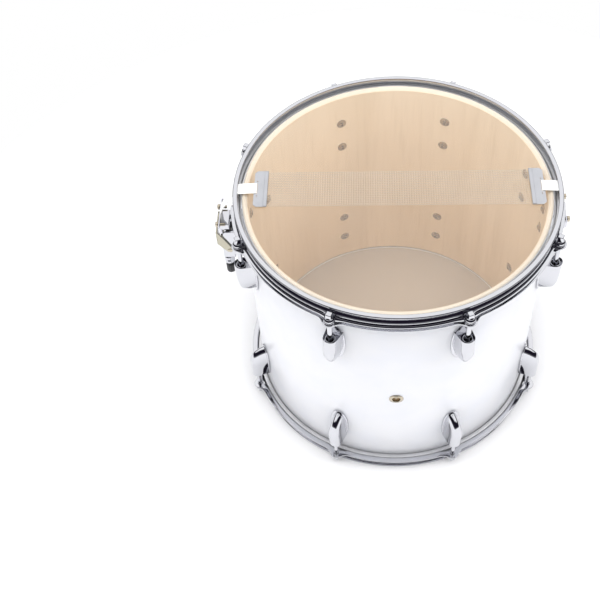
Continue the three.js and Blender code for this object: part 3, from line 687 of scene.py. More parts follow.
class Work:
    """A mesh in the making, in millimetres."""

    def __init__(self) -> None:
        """Starts with nothing."""
        self.bm = bmesh.new()

    def block(self, low: Point, high: Point, bevel: float = 0.0,
              segments: int = 3) -> list[bmesh.types.BMVert]:
        """Adds a box with rounded edges.

        Args:
            low: Lowest corner.
            high: Highest corner.
            bevel: Radius of its edges.
            segments: Segments of each rounded edge.

        Returns:
            The box's corners, before they are rounded.
        """
        size = Vector(high) - Vector(low)
        place = Matrix.Translation((Vector(low) + Vector(high)) / 2) @ Matrix.Diagonal((*size, 1.0))
        verts = bmesh.ops.create_cube(self.bm, size=1.0, matrix=place)["verts"]
        if bevel:
            self.bevel({edge for vert in verts for edge in vert.link_edges}, bevel, segments)
        return verts

    def bevel(self, edges: Iterable[bmesh.types.BMEdge], width: float, segments: int = 3) -> None:
        """Rounds edges.

        Args:
            edges: The edges.
            width: How far the rounding reaches on each side.
            segments: Segments of the rounding.
        """
        bmesh.ops.bevel(self.bm, geom=list(edges), offset=width, offset_type="OFFSET", segments=segments,
                        profile=0.5, affect="EDGES", material=-1, clamp_overlap=True)

    def creases(self, degrees: float = 30.0,
                where: Callable[[Vector], bool] = lambda middle: True) -> list[bmesh.types.BMEdge]:
        """Finds edges whose faces meet at an angle.

        Args:
            degrees: The least angle.
            where: Says of an edge's middle whether the edge is wanted.

        Returns:
            The edges.
        """
        return [edge for edge in self.bm.edges
                if edge.is_manifold and edge.calc_face_angle(0.0) > math.radians(degrees)
                and where((edge.verts[0].co + edge.verts[1].co) / 2)]

    def lathe(self, outline: Outline, steps: int = ROUND_STEPS, closed: bool = True,
              place: Matrix = Matrix.Identity(4)) -> None:
        """Turns an outline about Z.

        Args:
            outline: Radius and height of each point.
            steps: Segments round the turn.
            closed: True if the outline returns to its start.
            place: Where the turned body goes.
        """
        verts = [self.bm.verts.new((radius, 0.0, height)) for radius, height in outline]
        edges = [self.bm.edges.new(pair) for pair in zip(verts, verts[1:])]
        if closed:
            edges.append(self.bm.edges.new((verts[-1], verts[0])))
        known = set(self.bm.verts) - set(verts)
        bmesh.ops.spin(self.bm, geom=verts + edges, cent=(0, 0, 0), axis=(0, 0, 1), angle=2 * math.pi,
                       steps=steps, use_merge=True)
        made = [vert for vert in self.bm.verts if vert not in known]
        bmesh.ops.remove_doubles(self.bm, verts=made, dist=WELD)
        made = [vert for vert in self.bm.verts if vert not in known]
        bmesh.ops.transform(self.bm, matrix=place, verts=made)

    def rod(self, radius: float, low: float, high: float, steps: int = SMALL_STEPS,
            place: Matrix = Matrix.Identity(4)) -> None:
        """Adds a plain cylinder along Z.

        Args:
            radius: Its radius.
            low: Where it starts.
            high: Where it ends.
            steps: Segments round it.
            place: Where it goes.
        """
        self.lathe([(0.0, low), (radius, low), (radius, high), (0.0, high)], steps, False, place)

    def slab(self, outline: Outline, low: float, high: float, place: Matrix = Matrix.Identity(4),
             bevel: float = 0.0, segments: int = 3) -> None:
        """Extrudes an outline along Z.

        Args:
            outline: Its points in X and Y.
            low: Where it starts.
            high: Where it ends.
            place: Where the slab goes.
            bevel: Rounding of its two rims.
            segments: Segments of that rounding.
        """
        verts = [self.bm.verts.new((x, y, low)) for x, y in outline]
        face = self.bm.faces.new(verts)
        made = bmesh.ops.extrude_face_region(self.bm, geom=[face])["geom"]
        top = [item for item in made if isinstance(item, bmesh.types.BMVert)]
        bmesh.ops.translate(self.bm, vec=(0, 0, high - low), verts=top)
        both = verts + top
        if bevel:
            rims = {edge for vert in both for edge in vert.link_edges
                    if abs(edge.verts[0].co.z - edge.verts[1].co.z) < WELD}
            known = set(self.bm.verts) - set(both)
            self.bevel(rims, bevel, segments)
            both = [vert for vert in self.bm.verts if vert not in known]
        bmesh.ops.transform(self.bm, matrix=place, verts=both)

    def facing(self, outline: Outline, back: float, front: float, bevel: float = 0.0) -> None:
        """Extrudes an outline drawn in Y and Z along X.

        Args:
            outline: Its points.
            back: Where it starts.
            front: Where it ends.
            bevel: Rounding of its two rims.
        """
        self.slab(outline, back, front, FACING, bevel)

    def across(self, outline: Outline, low: float, high: float, bevel: float = 0.0) -> None:
        """Extrudes an outline drawn in X and Z along Y.

        Args:
            outline: Its points.
            low: Where it starts.
            high: Where it ends.
            bevel: Rounding of its two rims.
        """
        self.slab(outline, -high, -low, Matrix.Rotation(math.pi / 2, 4, "X"), bevel)

    def stamp(self, other: "Work", places: Iterable[Matrix] = (Matrix.Identity(4),)) -> "Work":
        """Adds copies of another work.

        Args:
            other: The work to copy.
            places: Where each copy goes.

        Returns:
            This work.
        """
        held = bpy.data.meshes.new("held")
        other.bm.to_mesh(held)
        for place in places:
            known = set(self.bm.verts)
            self.bm.from_mesh(held)
            made = [vert for vert in self.bm.verts if vert not in known]
            bmesh.ops.transform(self.bm, matrix=place, verts=made)
        bpy.data.meshes.remove(held)
        return self

    def carve(self, tool: "Work") -> None:
        """Cuts another work out of this one.

        Args:
            tool: The body that is cut away.
        """
        blank, cutter = self.loose("blank"), tool.loose("cutter")
        change = blank.modifiers.new("cut", "BOOLEAN")
        change.object, change.operation, change.solver = cutter, "DIFFERENCE", "EXACT"
        graph = bpy.context.evaluated_depsgraph_get()
        cut = bpy.data.meshes.new_from_object(blank.evaluated_get(graph))
        self.bm.clear()
        self.bm.from_mesh(cut)
        bpy.data.meshes.remove(cut)
        for thing in (blank, cutter):
            mesh = thing.data
            bpy.data.objects.remove(thing)
            bpy.data.meshes.remove(mesh)

    def loose(self, name: str) -> bpy.types.Object:
        """Makes a passing object of the mesh as it stands.

        Args:
            name: The object's name.

        Returns:
            The object, in the scene.
        """
        bmesh.ops.recalc_face_normals(self.bm, faces=self.bm.faces[:])
        mesh = bpy.data.meshes.new(name)
        self.bm.to_mesh(mesh)
        made = bpy.data.objects.new(name, mesh)
        bpy.context.scene.collection.objects.link(made)
        return made

    def piece(self, name: str, finish: Finish, body: str | None, nodes: Sequence[str], slot: str,
              place: Matrix = Matrix.Identity(4), sharp: float = 35.0,
              weighted: bool = False) -> bpy.types.Object:
        """Writes the mesh out as a piece of the drum.

        Args:
            name: The piece's name.
            finish: Its finish.
            body: The body that it rides on, or None to leave it on no body.
            nodes: The nodes that it stands for.
            slot: The record's material slot; not used.
            place: Where the piece goes, in millimetres.
            sharp: Faces that meet at more degrees than this keep a hard edge.
            weighted: True if large flats are to shade flat between rounded edges.

        Returns:
            The piece.
        """
        bmesh.ops.remove_doubles(self.bm, verts=self.bm.verts[:], dist=WELD)
        bmesh.ops.recalc_face_normals(self.bm, faces=self.bm.faces[:])
        bmesh.ops.transform(self.bm, matrix=Matrix.Scale(MM, 4) @ place, verts=self.bm.verts[:])
        mesh = bpy.data.meshes.new(name)
        self.bm.to_mesh(mesh)
        mesh.polygons.foreach_set("use_smooth", [True] * len(mesh.polygons))
        mesh.set_sharp_from_angle(angle=math.radians(sharp))
        mesh.materials.append(finish.material())
        made = bpy.data.objects.new(name, mesh)
        bpy.context.scene.collection.objects.link(made)
        if weighted:
            made.modifiers.new("weighted", "WEIGHTED_NORMAL").keep_sharp = True
        if body is not None:
            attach(made, body)
        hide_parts(*nodes)
        return made


# Sizes from the frame

def reach(node: str) -> tuple[Vector, Vector]:
    """Gives a node's lowest and highest corner in millimetres.

    Args:
        node: The node's name.

    Returns:
        The two corners.
    """
    low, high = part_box(node)
    return Vector(low) / MM, Vector(high) / MM


@dataclass(frozen=True)
class Layout:
    """Driving sizes of the drum, in millimetres."""

    shell_radius: float
    shell_low: float
    shell_high: float
    wrap_radius: float
    wrap_low: float
    wrap_high: float
    flange_radius: float
    batter_rim: float
    snare_rim: float
    batter_stand: float
    snare_stand: float
    stations: int = 8
    rod_axis: float = 192.2

    @classmethod
    def from_frame(cls) -> "Layout":
        """Reads the sizes.

        Returns:
            The layout.
        """
        shell, wrap = reach("shell"), reach("shell_wrap")
        batter, snare = reach("batter_hoop"), reach("snare_hoop")
        return cls(shell_radius=shell[1].y, shell_low=shell[0].z, shell_high=shell[1].z,
                   wrap_radius=wrap[1].y, wrap_low=wrap[0].z, wrap_high=wrap[1].z,
                   flange_radius=snare[1].y, batter_rim=batter[0].z, snare_rim=snare[1].z,
                   batter_stand=reach("batter_head_film")[0].z - batter[0].z,
                   snare_stand=snare[1].z - reach("snare_head_film")[1].z)

    def station(self, number: int) -> Matrix:
        """Turns the first axis to a tension station.

        Args:
            number: The station, from 1.

        Returns:
            The turn about the drum's axis.
        """
        return Matrix.Rotation((number - 0.5) * 2 * math.pi / self.stations, 4, "Z")


class End(Enum):
    """The drum's two ends."""

    BATTER = "batter"
    SNARE = "snare"

    def place(self, layout: Layout) -> Matrix:
        """Turns the end's own frame into the drum's.

        Args:
            layout: The drum's sizes.

        Returns:
            The transform.
        """
        if self is End.BATTER:
            return Matrix.Translation((0, 0, layout.batter_rim))
        return Matrix.Translation((0, 0, layout.snare_rim)) @ Matrix.Rotation(math.pi, 4, "X")

    def stand(self, layout: Layout) -> float:
        """Gives the depth of this end's head below its rim."""
        return layout.batter_stand if self is End.BATTER else layout.snare_stand


# Pieces of the drum

@dataclass
class Shell:
    """The wooden shell, its covering and the air vent."""

    layout: Layout
    wall: float = 6.0
    crest_inset: float = 2.0
    crest_round: float = 1.6
    sheet: float = 0.5
    overlap_start: float = 84.0
    overlap_end: float = 96.0
    overlap_step: float = 0.35
    vent_bore: float = 5.2
    vent_play: float = 0.2
    vent_flange: float = 8.4
    vent_rise: float = 1.5

    def build(self) -> None:
        """Builds the shell, the covering and the vent."""
        self.wood()
        self.covering()
        self.vent()

    def vent_drill(self) -> Work:
        """Makes the cutter for the vent.

        Returns:
            The cutter.
        """
        tool = Work()
        depth = 2 * self.wall
        place = self.vent_place() @ Matrix.Translation((0, 0, -2 * depth))
        tool.rod(self.vent_bore + self.vent_play, 0.0, 3 * depth, ROUND_STEPS, place)
        return tool

    def vent_place(self) -> Matrix:
        """Gives the vent's own frame, with Z outwards.

        Returns:
            The transform.
        """
        low, high = reach("vent_grommet")
        where = Matrix.Translation((0, -self.layout.wrap_radius, (low.z + high.z) / 2))
        return where @ Matrix.Rotation(math.pi / 2, 4, "X")

    def wood(self) -> None:
        """Builds the shell with its two bearing edges."""
        low, high, outer = self.layout.shell_low, self.layout.shell_high, self.layout.shell_radius
        inner, crest = outer - self.wall, outer - self.crest_inset
        drop = crest - inner
        edge = 0.25
        profile = rounded([
            (inner, low + drop, edge), (crest, low, edge), (outer, low + self.crest_round, edge),
            (outer, high - self.crest_round, edge), (crest, high, edge), (inner, high - drop, edge)], steps=3)
        work = Work()
        work.lathe(profile, RING_STEPS)
        work.carve(self.vent_drill())
        work.piece("wooden_shell", FINISHES.maple, "drum", ["shell"], "maple")

    def covering(self) -> None:
        """Builds the sheet round the shell and the overlap at its seam."""
        layout = self.layout
        inner, edge = layout.wrap_radius - self.sheet, 0.15
        work = Work()
        work.lathe(rounded([(inner, layout.wrap_low, edge), (layout.wrap_radius, layout.wrap_low, edge),
                            (layout.wrap_radius, layout.wrap_high, edge), (inner, layout.wrap_high, edge)],
                           steps=2), RING_STEPS)
        work.carve(self.vent_drill())
        work.piece("white_covering", FINISHES.covering, "drum", ["shell_wrap"], "white_wrap")
        seam = Work()
        steps = 12
        start, end = math.radians(self.overlap_start), math.radians(self.overlap_end)
        low, high = layout.wrap_radius - self.sheet / 2, layout.wrap_radius + self.overlap_step
        arc = [start + (end - start) * k / steps for k in range(steps + 1)]
        outline = [(low * math.cos(a), low * math.sin(a)) for a in arc]
        outline += [(high * math.cos(a), high * math.sin(a)) for a in reversed(arc)]
        seam.slab(outline, layout.wrap_low, layout.wrap_high, bevel=0.1, segments=2)
        seam.piece("covering_overlap", FINISHES.covering, "drum", ["shell_wrap"], "white_wrap")

    def vent(self) -> None:
        """Builds the eyelet of the air vent."""
        bore, flange, rise = self.vent_bore - 0.6, self.vent_flange, self.vent_rise
        back, sleeve = -self.wall - 1.8, bore + 0.5
        profile = rounded([
            (bore, back, 0.2), (sleeve, back, 0.2), (sleeve, 0.1, 0.1), (flange, 0.1, 0.3),
            (flange, 0.5, 0.4), (bore + 1.3, rise, 0.9), (bore, rise, 0.9)])
        work = Work()
        work.lathe(profile, ROUND_STEPS, place=self.vent_place())
        work.piece("vent_eyelet", FINISHES.nickel, "drum", ["vent_grommet"], "nickel")


@dataclass
class Head:
    """A head: the film and the flesh hoop that holds its edge."""

    layout: Layout
    end: End
    film: float = 0.3
    flat_start: float = 150.0
    flat_radius: float = 176.3
    collar_radius: float = 178.6
    collar_drop: float = 2.0
    skirt_radius: float = 180.85
    skirt_top: float = 12.3
    skirt_foot: float = 16.0
    ring_inner: float = 178.7
    ring_outer: float = 183.6
    ring_top: float = 10.3
    ring_foot: float = 17.3
    ring_floor: float = 0.9
    slot_inner: float = 180.1
    slot_outer: float = 181.3
    low_side: float = 12.9

    def build(self) -> None:
        """Builds the film and its flesh hoop."""
        self.skin()
        self.ring()

    def skin(self) -> None:
        """Builds the film: flat over the bearing edge, down the collar and into the flesh hoop."""
        side, depth = self.end.value, self.end.stand(self.layout)
        middle = depth + self.film / 2
        path = [(0.0, middle)] + rounded([
            (self.flat_start, middle, 0), (self.flat_radius, middle, 3.0),
            (self.collar_radius, depth + self.collar_drop, 2.0),
            (self.skirt_radius, self.skirt_top, 1.0), (self.skirt_radius, self.skirt_foot, 0)], closed=False)
        outline = thickened(path, self.film)
        outline[0], outline[-1] = (0.0, middle + self.film / 2), (0.0, middle - self.film / 2)
        film = Work()
        film.lathe(outline, RING_STEPS, closed=False)
        finish = FINISHES.coated_film if self.end is End.BATTER else FINISHES.clear_film
        film.piece(f"{side}_film", finish, "drum", [f"{side}_head_film"], f"{side}_film",
                   self.end.place(self.layout))

    def ring(self) -> None:
        """Builds the channelled flesh hoop."""
        side, edge, floor = self.end.value, 0.35, self.ring_foot - self.ring_floor
        channel = rounded([
            (self.ring_outer, self.ring_top, 0.8), (self.ring_outer, self.ring_foot, edge),
            (self.ring_inner, self.ring_foot, edge), (self.ring_inner, self.low_side, edge),
            (self.slot_inner, self.low_side, edge), (self.slot_inner, floor, 0.3),
            (self.slot_outer, floor, 0.3), (self.slot_outer, self.ring_top, edge)], steps=3)
        ring = Work()
        ring.lathe(channel, RING_STEPS)
        ring.piece(f"{side}_flesh_ring", FINISHES.aluminium, "drum", [f"{side}_flesh_hoop"], "aluminium",
                   self.end.place(self.layout))


@dataclass
class Hoop:
    """A triple-flanged steel hoop with an ear at each tension station."""

    layout: Layout
    end: End
    steel: float = 1.8
    height: float = 19.5
    inner: float = 182.0
    rim: float = 187.5
    rim_foot: float = 4.0
    upper_foot: float = 8.0
    inner_bend: float = 0.9
    lower_wall: float = 186.4
    shoulder: float = 5.4
    shoulder_foot: float = 13.2
    skirt_start: float = 0.4
    skirt_fillet: float = 2.6
    ear_tip: float = 7.8
    ear_root: float = 17.0
    ear_join: float = 6.0
    ear_power: float = 2.3
    ear_sector: float = 7.0
    ear_steps: int = 56
    plain_steps: int = 14
    flare: float = 3.0
    flare_top: float = 9.0
    flare_power: float = 2.2
    hole: float = 3.2
    gate_width: float = 21.0
    gate_top: float = 2.3
    gate_foot: float = 8.4
    gate_corner: float = 1.2
    notch_width: float = 24.0
    notch_drop: float = 6.0
    notch_clear: float = 0.6
    notch_corner: float = 1.5

    def build(self) -> None:
        """Builds the hoop."""
        work = self.ring()
        self.shape_ears(work)
        tools = Work()
        for number in range(1, self.layout.stations + 1):
            place = self.layout.station(number) @ Matrix.Translation((self.layout.rod_axis, 0, 0))
            tools.rod(self.hole, self.height - 3 * self.steel, self.height + self.steel, place=place)
        if self.end is End.SNARE:
            self.gates(tools)
        work.carve(tools)
        side = self.end.value
        work.piece(f"{side}_steel_hoop", FINISHES.chrome, "drum", [f"{side}_hoop"], "chrome",
                   self.end.place(self.layout), sharp=40.0)

    def profile(self) -> Outline:
        """Gives the hoop's section: rim, upper wall, round shoulder, skirt and flange.

        Returns:
            The closed outline in radius and depth.
        """
        thick, wall, flange = self.steel, self.lower_wall, self.layout.flange_radius
        centre = (wall - self.shoulder, self.shoulder_foot)

        def arc(radius: float, start: float, end: float) -> Outline:
            """Gives an arc about the shoulder's centre.

            Args:
                radius: Its radius.
                start: Its first elevation in degrees.
                end: Its last elevation in degrees.

            Returns:
                The arc's points.
            """
            turns = [math.radians(start + (end - start) * k / 8) for k in range(9)]
            return [(centre[0] + radius * math.cos(a), centre[1] - radius * math.sin(a)) for a in turns]

        upper = self.inner + thick
        lean = math.degrees(math.acos((upper - centre[0]) / self.shoulder))
        inner_reach = self.inner - centre[0] + self.inner_bend
        inner_lean = math.degrees(math.acos(inner_reach / (self.shoulder - thick)))
        foot, start = self.height - thick, self.shoulder_foot + self.skirt_start
        rim = rounded([(upper, self.rim_foot, 0), (upper, thick, 0.5), (self.rim, thick, 0.35),
                       (self.rim, 0.0, 1.35), (self.inner, 0.0, 0.8), (self.inner, self.rim_foot, 0)],
                      closed=False)
        skirt = rounded([(wall, start, 0), (wall, foot, self.skirt_fillet), (flange, foot, 0.3),
                         (flange, self.height, 0.4), (wall - thick, self.height, 1.6),
                         (wall - thick, start, 0)], closed=False)
        inner_arc = arc(self.shoulder - thick, 0.0, inner_lean)
        return rim[::-1] + arc(self.shoulder, lean, 0.0) + skirt + inner_arc + [(self.inner, self.upper_foot)]

    def ring(self) -> Work:
        """Turns the section, with finer steps where the ears are.

        Returns:
            The plain ring.
        """
        work = Work()
        outline = self.profile()
        sector = 2 * math.pi / self.layout.stations
        ear = math.radians(self.ear_sector)
        verts = [work.bm.verts.new((radius, 0.0, depth)) for radius, depth in outline]
        geometry = verts + [work.bm.edges.new(pair) for pair in zip(verts, verts[1:] + verts[:1])]
        plain = (sector / 2 - ear, self.plain_steps)
        for angle, steps in (plain, (2 * ear, self.ear_steps), plain):
            made = bmesh.ops.spin(work.bm, geom=geometry, cent=(0, 0, 0), axis=(0, 0, 1), angle=angle,
                                  steps=steps)
            geometry = made["geom_last"]
        faces = work.bm.faces[:]
        bmesh.ops.spin(work.bm, geom=faces, cent=(0, 0, 0), axis=(0, 0, 1), angle=2 * math.pi - sector,
                       steps=self.layout.stations - 1, use_duplicate=True)
        bmesh.ops.remove_doubles(work.bm, verts=work.bm.verts[:], dist=SPIN_WELD)
        return work

    def shape_ears(self, work: Work) -> None:
        """Draws the flange out into ears and flares the skirt into each.

        Args:
            work: The plain ring, which is changed.
        """
        layout = self.layout
        sector = 2 * math.pi / layout.stations
        flange, axis, foot = layout.flange_radius, layout.rod_axis, self.height - self.steel
        wall, slack = self.lower_wall, 0.1
        for vert in work.bm.verts:
            radius = math.hypot(vert.co.x, vert.co.y)
            angle = (math.atan2(vert.co.y, vert.co.x)) % sector - sector / 2
            across = abs(radius * math.tan(angle))
            if across >= self.ear_root:
                continue
            if across < self.ear_join:
                tip = axis + math.sqrt(self.ear_tip ** 2 - across ** 2)
            else:
                start = axis + math.sqrt(self.ear_tip ** 2 - self.ear_join ** 2) - flange
                left = (self.ear_root - across) / (self.ear_root - self.ear_join)
                tip = flange + start * left ** self.ear_power
            near = (1 - across / self.ear_root) ** 2 * (1 + 2 * across / self.ear_root)
            moved = radius
            if vert.co.z > foot - slack and radius > wall:
                moved = wall + (radius - wall) * (tip - wall) / (flange - wall)
            outside = self.inner + 2 < radius < wall + self.skirt_fillet + slack
            if outside and vert.co.z > self.flare_top:
                down = min(1.0, (vert.co.z - self.flare_top) / (foot - self.flare_top))
                moved = max(moved, radius + self.flare * near * down ** self.flare_power)
            vert.co.x *= moved / radius
            vert.co.y *= moved / radius

    def gates(self, tools: Work) -> None:
        """Adds the cutters of the two snare gates.

        Args:
            tools: The cutters so far.
        """
        reach_out, past = self.layout.flange_radius + self.ear_tip, self.inner - self.ear_tip
        half, notch = self.gate_width / 2, self.notch_width / 2
        for side in (-1, 1):
            low, high = sorted((side * past, side * reach_out))
            tools.block((low, -half, self.gate_top), (high, half, self.gate_foot), self.gate_corner)
            low, high = sorted((side * (self.lower_wall + self.notch_clear), side * reach_out))
            tools.block((low, -notch, self.gate_foot + self.notch_drop),
                        (high, notch, self.height + self.steel), self.notch_corner)


@dataclass
class TensionRod:
    """A square-headed tension rod with its collar and captive washer."""

    layout: Layout
    end: End
    shank: float = 2.75
    collar: float = 5.8
    head: float = 6.4
    head_top: float = 4.4
    head_foot: float = 12.2
    head_edge: float = 0.9
    throat: float = 4.4
    collar_foot: float = 15.4
    washer_top: float = 15.7
    washer_foot: float = 17.4
    washer_gap: float = 0.35
    washer_past: float = 0.6
    tip: float = 66.0

    def build(self) -> None:
        """Builds the eight rods of this end."""
        shape = self.shape()
        side, place = self.end.value, self.end.place(self.layout)
        for number in range(1, self.layout.stations + 1):
            work = Work().stamp(shape)
            where = place @ self.layout.station(number) @ Matrix.Translation((self.layout.rod_axis, 0, 0))
            work.piece(f"{side}_rod_{number}", FINISHES.chrome, f"rod_{side}_{number}",
                       [f"tension_rod_{side}_{number}"], "chrome", where, weighted=True)

    def shape(self) -> Work:
        """Models one rod along Z.

        Returns:
            The rod.
        """
        work = Work()
        half = self.head / 2
        work.block((-half, -half, self.head_top), (half, half, self.head_foot + 0.5), self.head_edge)
        turned = rounded([
            (0.0, self.head_foot - 1.0, 0), (self.throat, self.head_foot - 1.0, 0.8),
            (self.collar, self.head_foot + 0.8, 0.8),
            (self.collar, self.collar_foot, 0.6), (self.shank, self.collar_foot, 0.2),
            (self.shank, self.tip, 0.6), (0.0, self.tip, 0)], closed=False, steps=4)
        work.lathe(turned, 40, closed=False)
        bore, brim = self.shank + self.washer_gap, self.collar + self.washer_past
        washer = rounded([(bore, self.washer_top, 0.1), (brim, self.washer_top, 0.5),
                          (brim, self.washer_foot, 0.3), (bore, self.washer_foot, 0.1)], steps=3)
        work.lathe(washer, 40)
        return work


@dataclass
class ShellScrew:
    """A cross-slotted screw and its washer on the inside of the shell."""

    washer: float = 6.3
    washer_rise: float = 1.7
    head: float = 2.9
    head_rise: float = 3.3
    slot: float = 0.7
    slot_depth: float = 1.5

    def shape(self) -> Work:
        """Models the screw with its head towards Z and the shell's face at zero.

        Returns:
            The screw and washer.
        """
        head = Work()
        head.lathe(rounded([(0.0, 0.1, 0), (self.head, 0.1, 0), (self.head, self.washer_rise + 0.5, 0.3),
                            (self.head * 0.8, self.head_rise - 0.5, 1.4), (0.0, self.head_rise, 0)],
                           closed=False, steps=4), SMALL_STEPS, closed=False)
        long, short = self.head * 0.6, self.slot / 2
        floor, top = self.head_rise - self.slot_depth, self.head_rise + 1
        for half_x, half_y in ((long, short), (short, long)):
            slot = Work()
            slot.block((-half_x, -half_y, floor), (half_x, half_y, top))
            head.carve(slot)
        washer = Work()
        washer.lathe(rounded([
            (long, 0.05, 0), (self.washer, 0.05, 0.2), (self.washer, 0.6, 0.3),
            (self.head + 0.2, self.washer_rise, 0.3), (long, self.washer_rise, 0)], steps=3), SMALL_STEPS)
        return head.stamp(washer)


def outwards(distance: float, across: float, depth: float) -> Matrix:
    """Stands a turned shape on a point of an end's frame, with its Z outwards.

    Args:
        distance: The point's distance along X.
        across: Its place along Y.
        depth: Its place along Z.

    Returns:
        The transform.
    """
    return Matrix.Translation((distance, across, depth)) @ Matrix.Rotation(math.pi / 2, 4, "Y")


def shell_screws(layout: Layout, depths: Sequence[float]) -> Work:
    """Models screws on the inside of the shell.

    Args:
        layout: The drum's sizes.
        depths: Depth of each screw.

    Returns:
        The screws.
    """
    inside = layout.shell_radius - Shell(layout).wall
    inwards = Matrix.Rotation(-math.pi / 2, 4, "Y")
    places = [Matrix.Translation((inside, 0, depth)) @ inwards for depth in depths]
    return Work().stamp(ShellScrew().shape(), places)


@dataclass
class Lug:
    """A cast lug: oval base, scooped casting, swivel nut, and two screws from inside the shell."""

    layout: Layout
    end: End
    centre: float = 72.0
    length: float = 60.0
    width: float = 24.0
    base: float = 2.4
    mouth: float = 47.8
    mouth_slope: float = 0.15
    mouth_past: float = 4.0
    lip_reach: float = 4.5
    lip_edge: float = 0.35
    waist: float = 16.0
    front: float = 199.6
    wall: float = 0.9
    cup_depth: float = 6.5
    brow: float = 0.45
    cup_back: float = 1.5
    round_start: float = 3.0
    round_reach: float = 24.0
    tip_drop: float = 2.2
    drop_start: float = 191.0
    drop_reach: float = 8.0
    screw_depths: tuple[float, float] = (51.7, 92.3)
    nut_top: float = 51.4
    nut_flange: float = 5.7
    nut_bore: float = 2.95
    nut_height: float = 4.0
    contour: int = 40
    base_steps: int = 64
    levels: tuple[tuple[float, float, float], ...] = (
        (178.6, 9.9, 97.6), (182.0, 9.5, 97.2), (187.0, 9.0, 95.8), (192.0, 8.4, 93.4), (195.4, 7.8, 91.6),
        (197.8, 7.2, 89.4), (199.1, 6.7, 86.8))

    def build(self) -> None:
        """Builds the eight lugs of this end with their nuts and screws."""
        casting, nut, screws = self.casting(), self.nut(), shell_screws(self.layout, self.screw_depths)
        side, place = self.end.value, self.end.place(self.layout)
        chrome, nickel = FINISHES.chrome, FINISHES.nickel
        for number in range(1, self.layout.stations + 1):
            where = place @ self.layout.station(number)
            nodes = [f"lug_{side}_{number}"]
            Work().stamp(casting).piece(f"{side}_lug_{number}", chrome, "drum", nodes, "chrome", where,
                                        sharp=50.0, weighted=True)
            Work().stamp(nut).piece(f"{side}_swivel_nut_{number}", chrome, "drum", nodes, "chrome", where)
            Work().stamp(screws).piece(f"{side}_lug_screws_{number}", nickel, "drum", nodes, "chrome", where)

    def unit(self, step: int) -> tuple[float, float]:
        """Gives a point of the casting's outline: blunt at the mouth, drawn to a round tip.

        Args:
            step: Which of the contour's points.

        Returns:
            Its place across, and along towards the tip, each from -1 to 1.
        """
        angle = 2 * math.pi * step / self.contour
        across, along = math.cos(angle), math.sin(angle)
        power = 0.92 if along > 0 else 0.35
        return (math.copysign(abs(across) ** power, across), math.copysign(abs(along) ** power, along))

    def casting(self) -> Work:
        """Models the casting on its base.

        Returns:
            The casting.
        """
        work = Work()
        top, waist = self.mouth - self.mouth_past, self.mouth + self.waist
        bm = work.bm
        ring = [bm.verts.new((0, 0, 0)) for _ in range(self.contour)]
        bm.faces.new(ring)
        _, last_half, last_tip = self.levels[-1]
        rise, narrowing, fall = 0.1, 0.22, 1.4
        crown = [(self.front + rise * k, last_half * (1 - narrowing * k), last_tip - fall * k)
                 for k in range(1, 4)]
        seam = (self.front + 0.3, 0.0, last_tip - 5.5)
        for k, (out, half, tip) in enumerate([*self.levels, *crown, seam]):
            if k:
                edges = [edge for edge in bm.edges if all(vert in rim for vert in edge.verts)]
                made = bmesh.ops.extrude_edge_only(bm, edges=edges)["geom"]
                new = [item for item in made if isinstance(item, bmesh.types.BMVert)]
                order = {vert: other for vert in new for edge in vert.link_edges
                         for other in edge.verts if other in rim}
                index = {vert: rim[other] for vert, other in order.items()}
            else:
                index = {vert: i for i, vert in enumerate(ring)}
            for vert, step in index.items():
                across, along = self.unit(step)
                length = tip - waist if along > 0 else waist - top
                forward = min(1.0, max(0.0, (out - self.drop_start) / self.drop_reach))
                drop = self.tip_drop * max(along, 0.0) ** 2 * forward
                vert.co = (out - drop, half * across, waist + along * length)
            rim = index
        bmesh.ops.remove_doubles(bm, verts=bm.verts[:], dist=SPIN_WELD)
        bmesh.ops.recalc_face_normals(bm, faces=bm.faces[:])
        self.round_mouth(bm)
        slant = Vector((-self.mouth_slope, 0, -1)).normalized()
        bmesh.ops.bisect_plane(bm, geom=bm.verts[:] + bm.edges[:] + bm.faces[:], dist=WELD,
                               plane_co=(self.front, 0, self.mouth), plane_no=slant, clear_outer=True)
        border = [edge for edge in bm.edges if edge.is_boundary]
        lid = bmesh.ops.holes_fill(bm, edges=border)["faces"]
        bmesh.ops.inset_region(bm, faces=lid, thickness=self.wall, depth=0.0, use_even_offset=True)
        bmesh.ops.translate(bm, vec=(0, 0, self.cup_depth), verts=list({v for f in lid for v in f.verts}))
        lip = work.creases(50.0, lambda middle: middle.z < self.mouth + self.lip_reach)
        work.bevel(lip, self.lip_edge, 2)
        plate = Work()
        back = self.layout.wrap_radius + 0.1
        outline = [(self.width / 2 * math.cos(a), self.length / 2 * math.sin(a))
                   for a in (2 * math.pi * k / self.base_steps for k in range(self.base_steps))]
        plate.slab(outline, 0.0, self.base, Matrix.Translation((back, 0, self.centre)) @ FACING, 0.8, 3)
        for vert in plate.bm.verts:
            vert.co.x -= back - math.sqrt(back ** 2 - vert.co.y ** 2)
        return work.stamp(plate)

    def round_mouth(self, bm: bmesh.types.BMesh) -> None:
        """Rounds the front of the casting towards its mouth, where it follows the cup.

        Args:
            bm: The casting's mesh.
        """
        axis, depth = self.layout.rod_axis, self.front + self.brow - self.layout.rod_axis
        widest = next(half for out, half, _ in self.levels if out >= axis - self.cup_back)
        for vert in bm.verts:
            forward = vert.co.x - axis
            fade = min(1.0, max(0.0, 1.0 - (vert.co.z - self.mouth - self.round_start) / self.round_reach))
            if forward > 0 and fade > 0:
                half = widest * math.sqrt(max(0.0, 1.0 - (forward / depth) ** 2))
                if abs(vert.co.y) > half:
                    vert.co.y += (math.copysign(half, vert.co.y) - vert.co.y) * fade

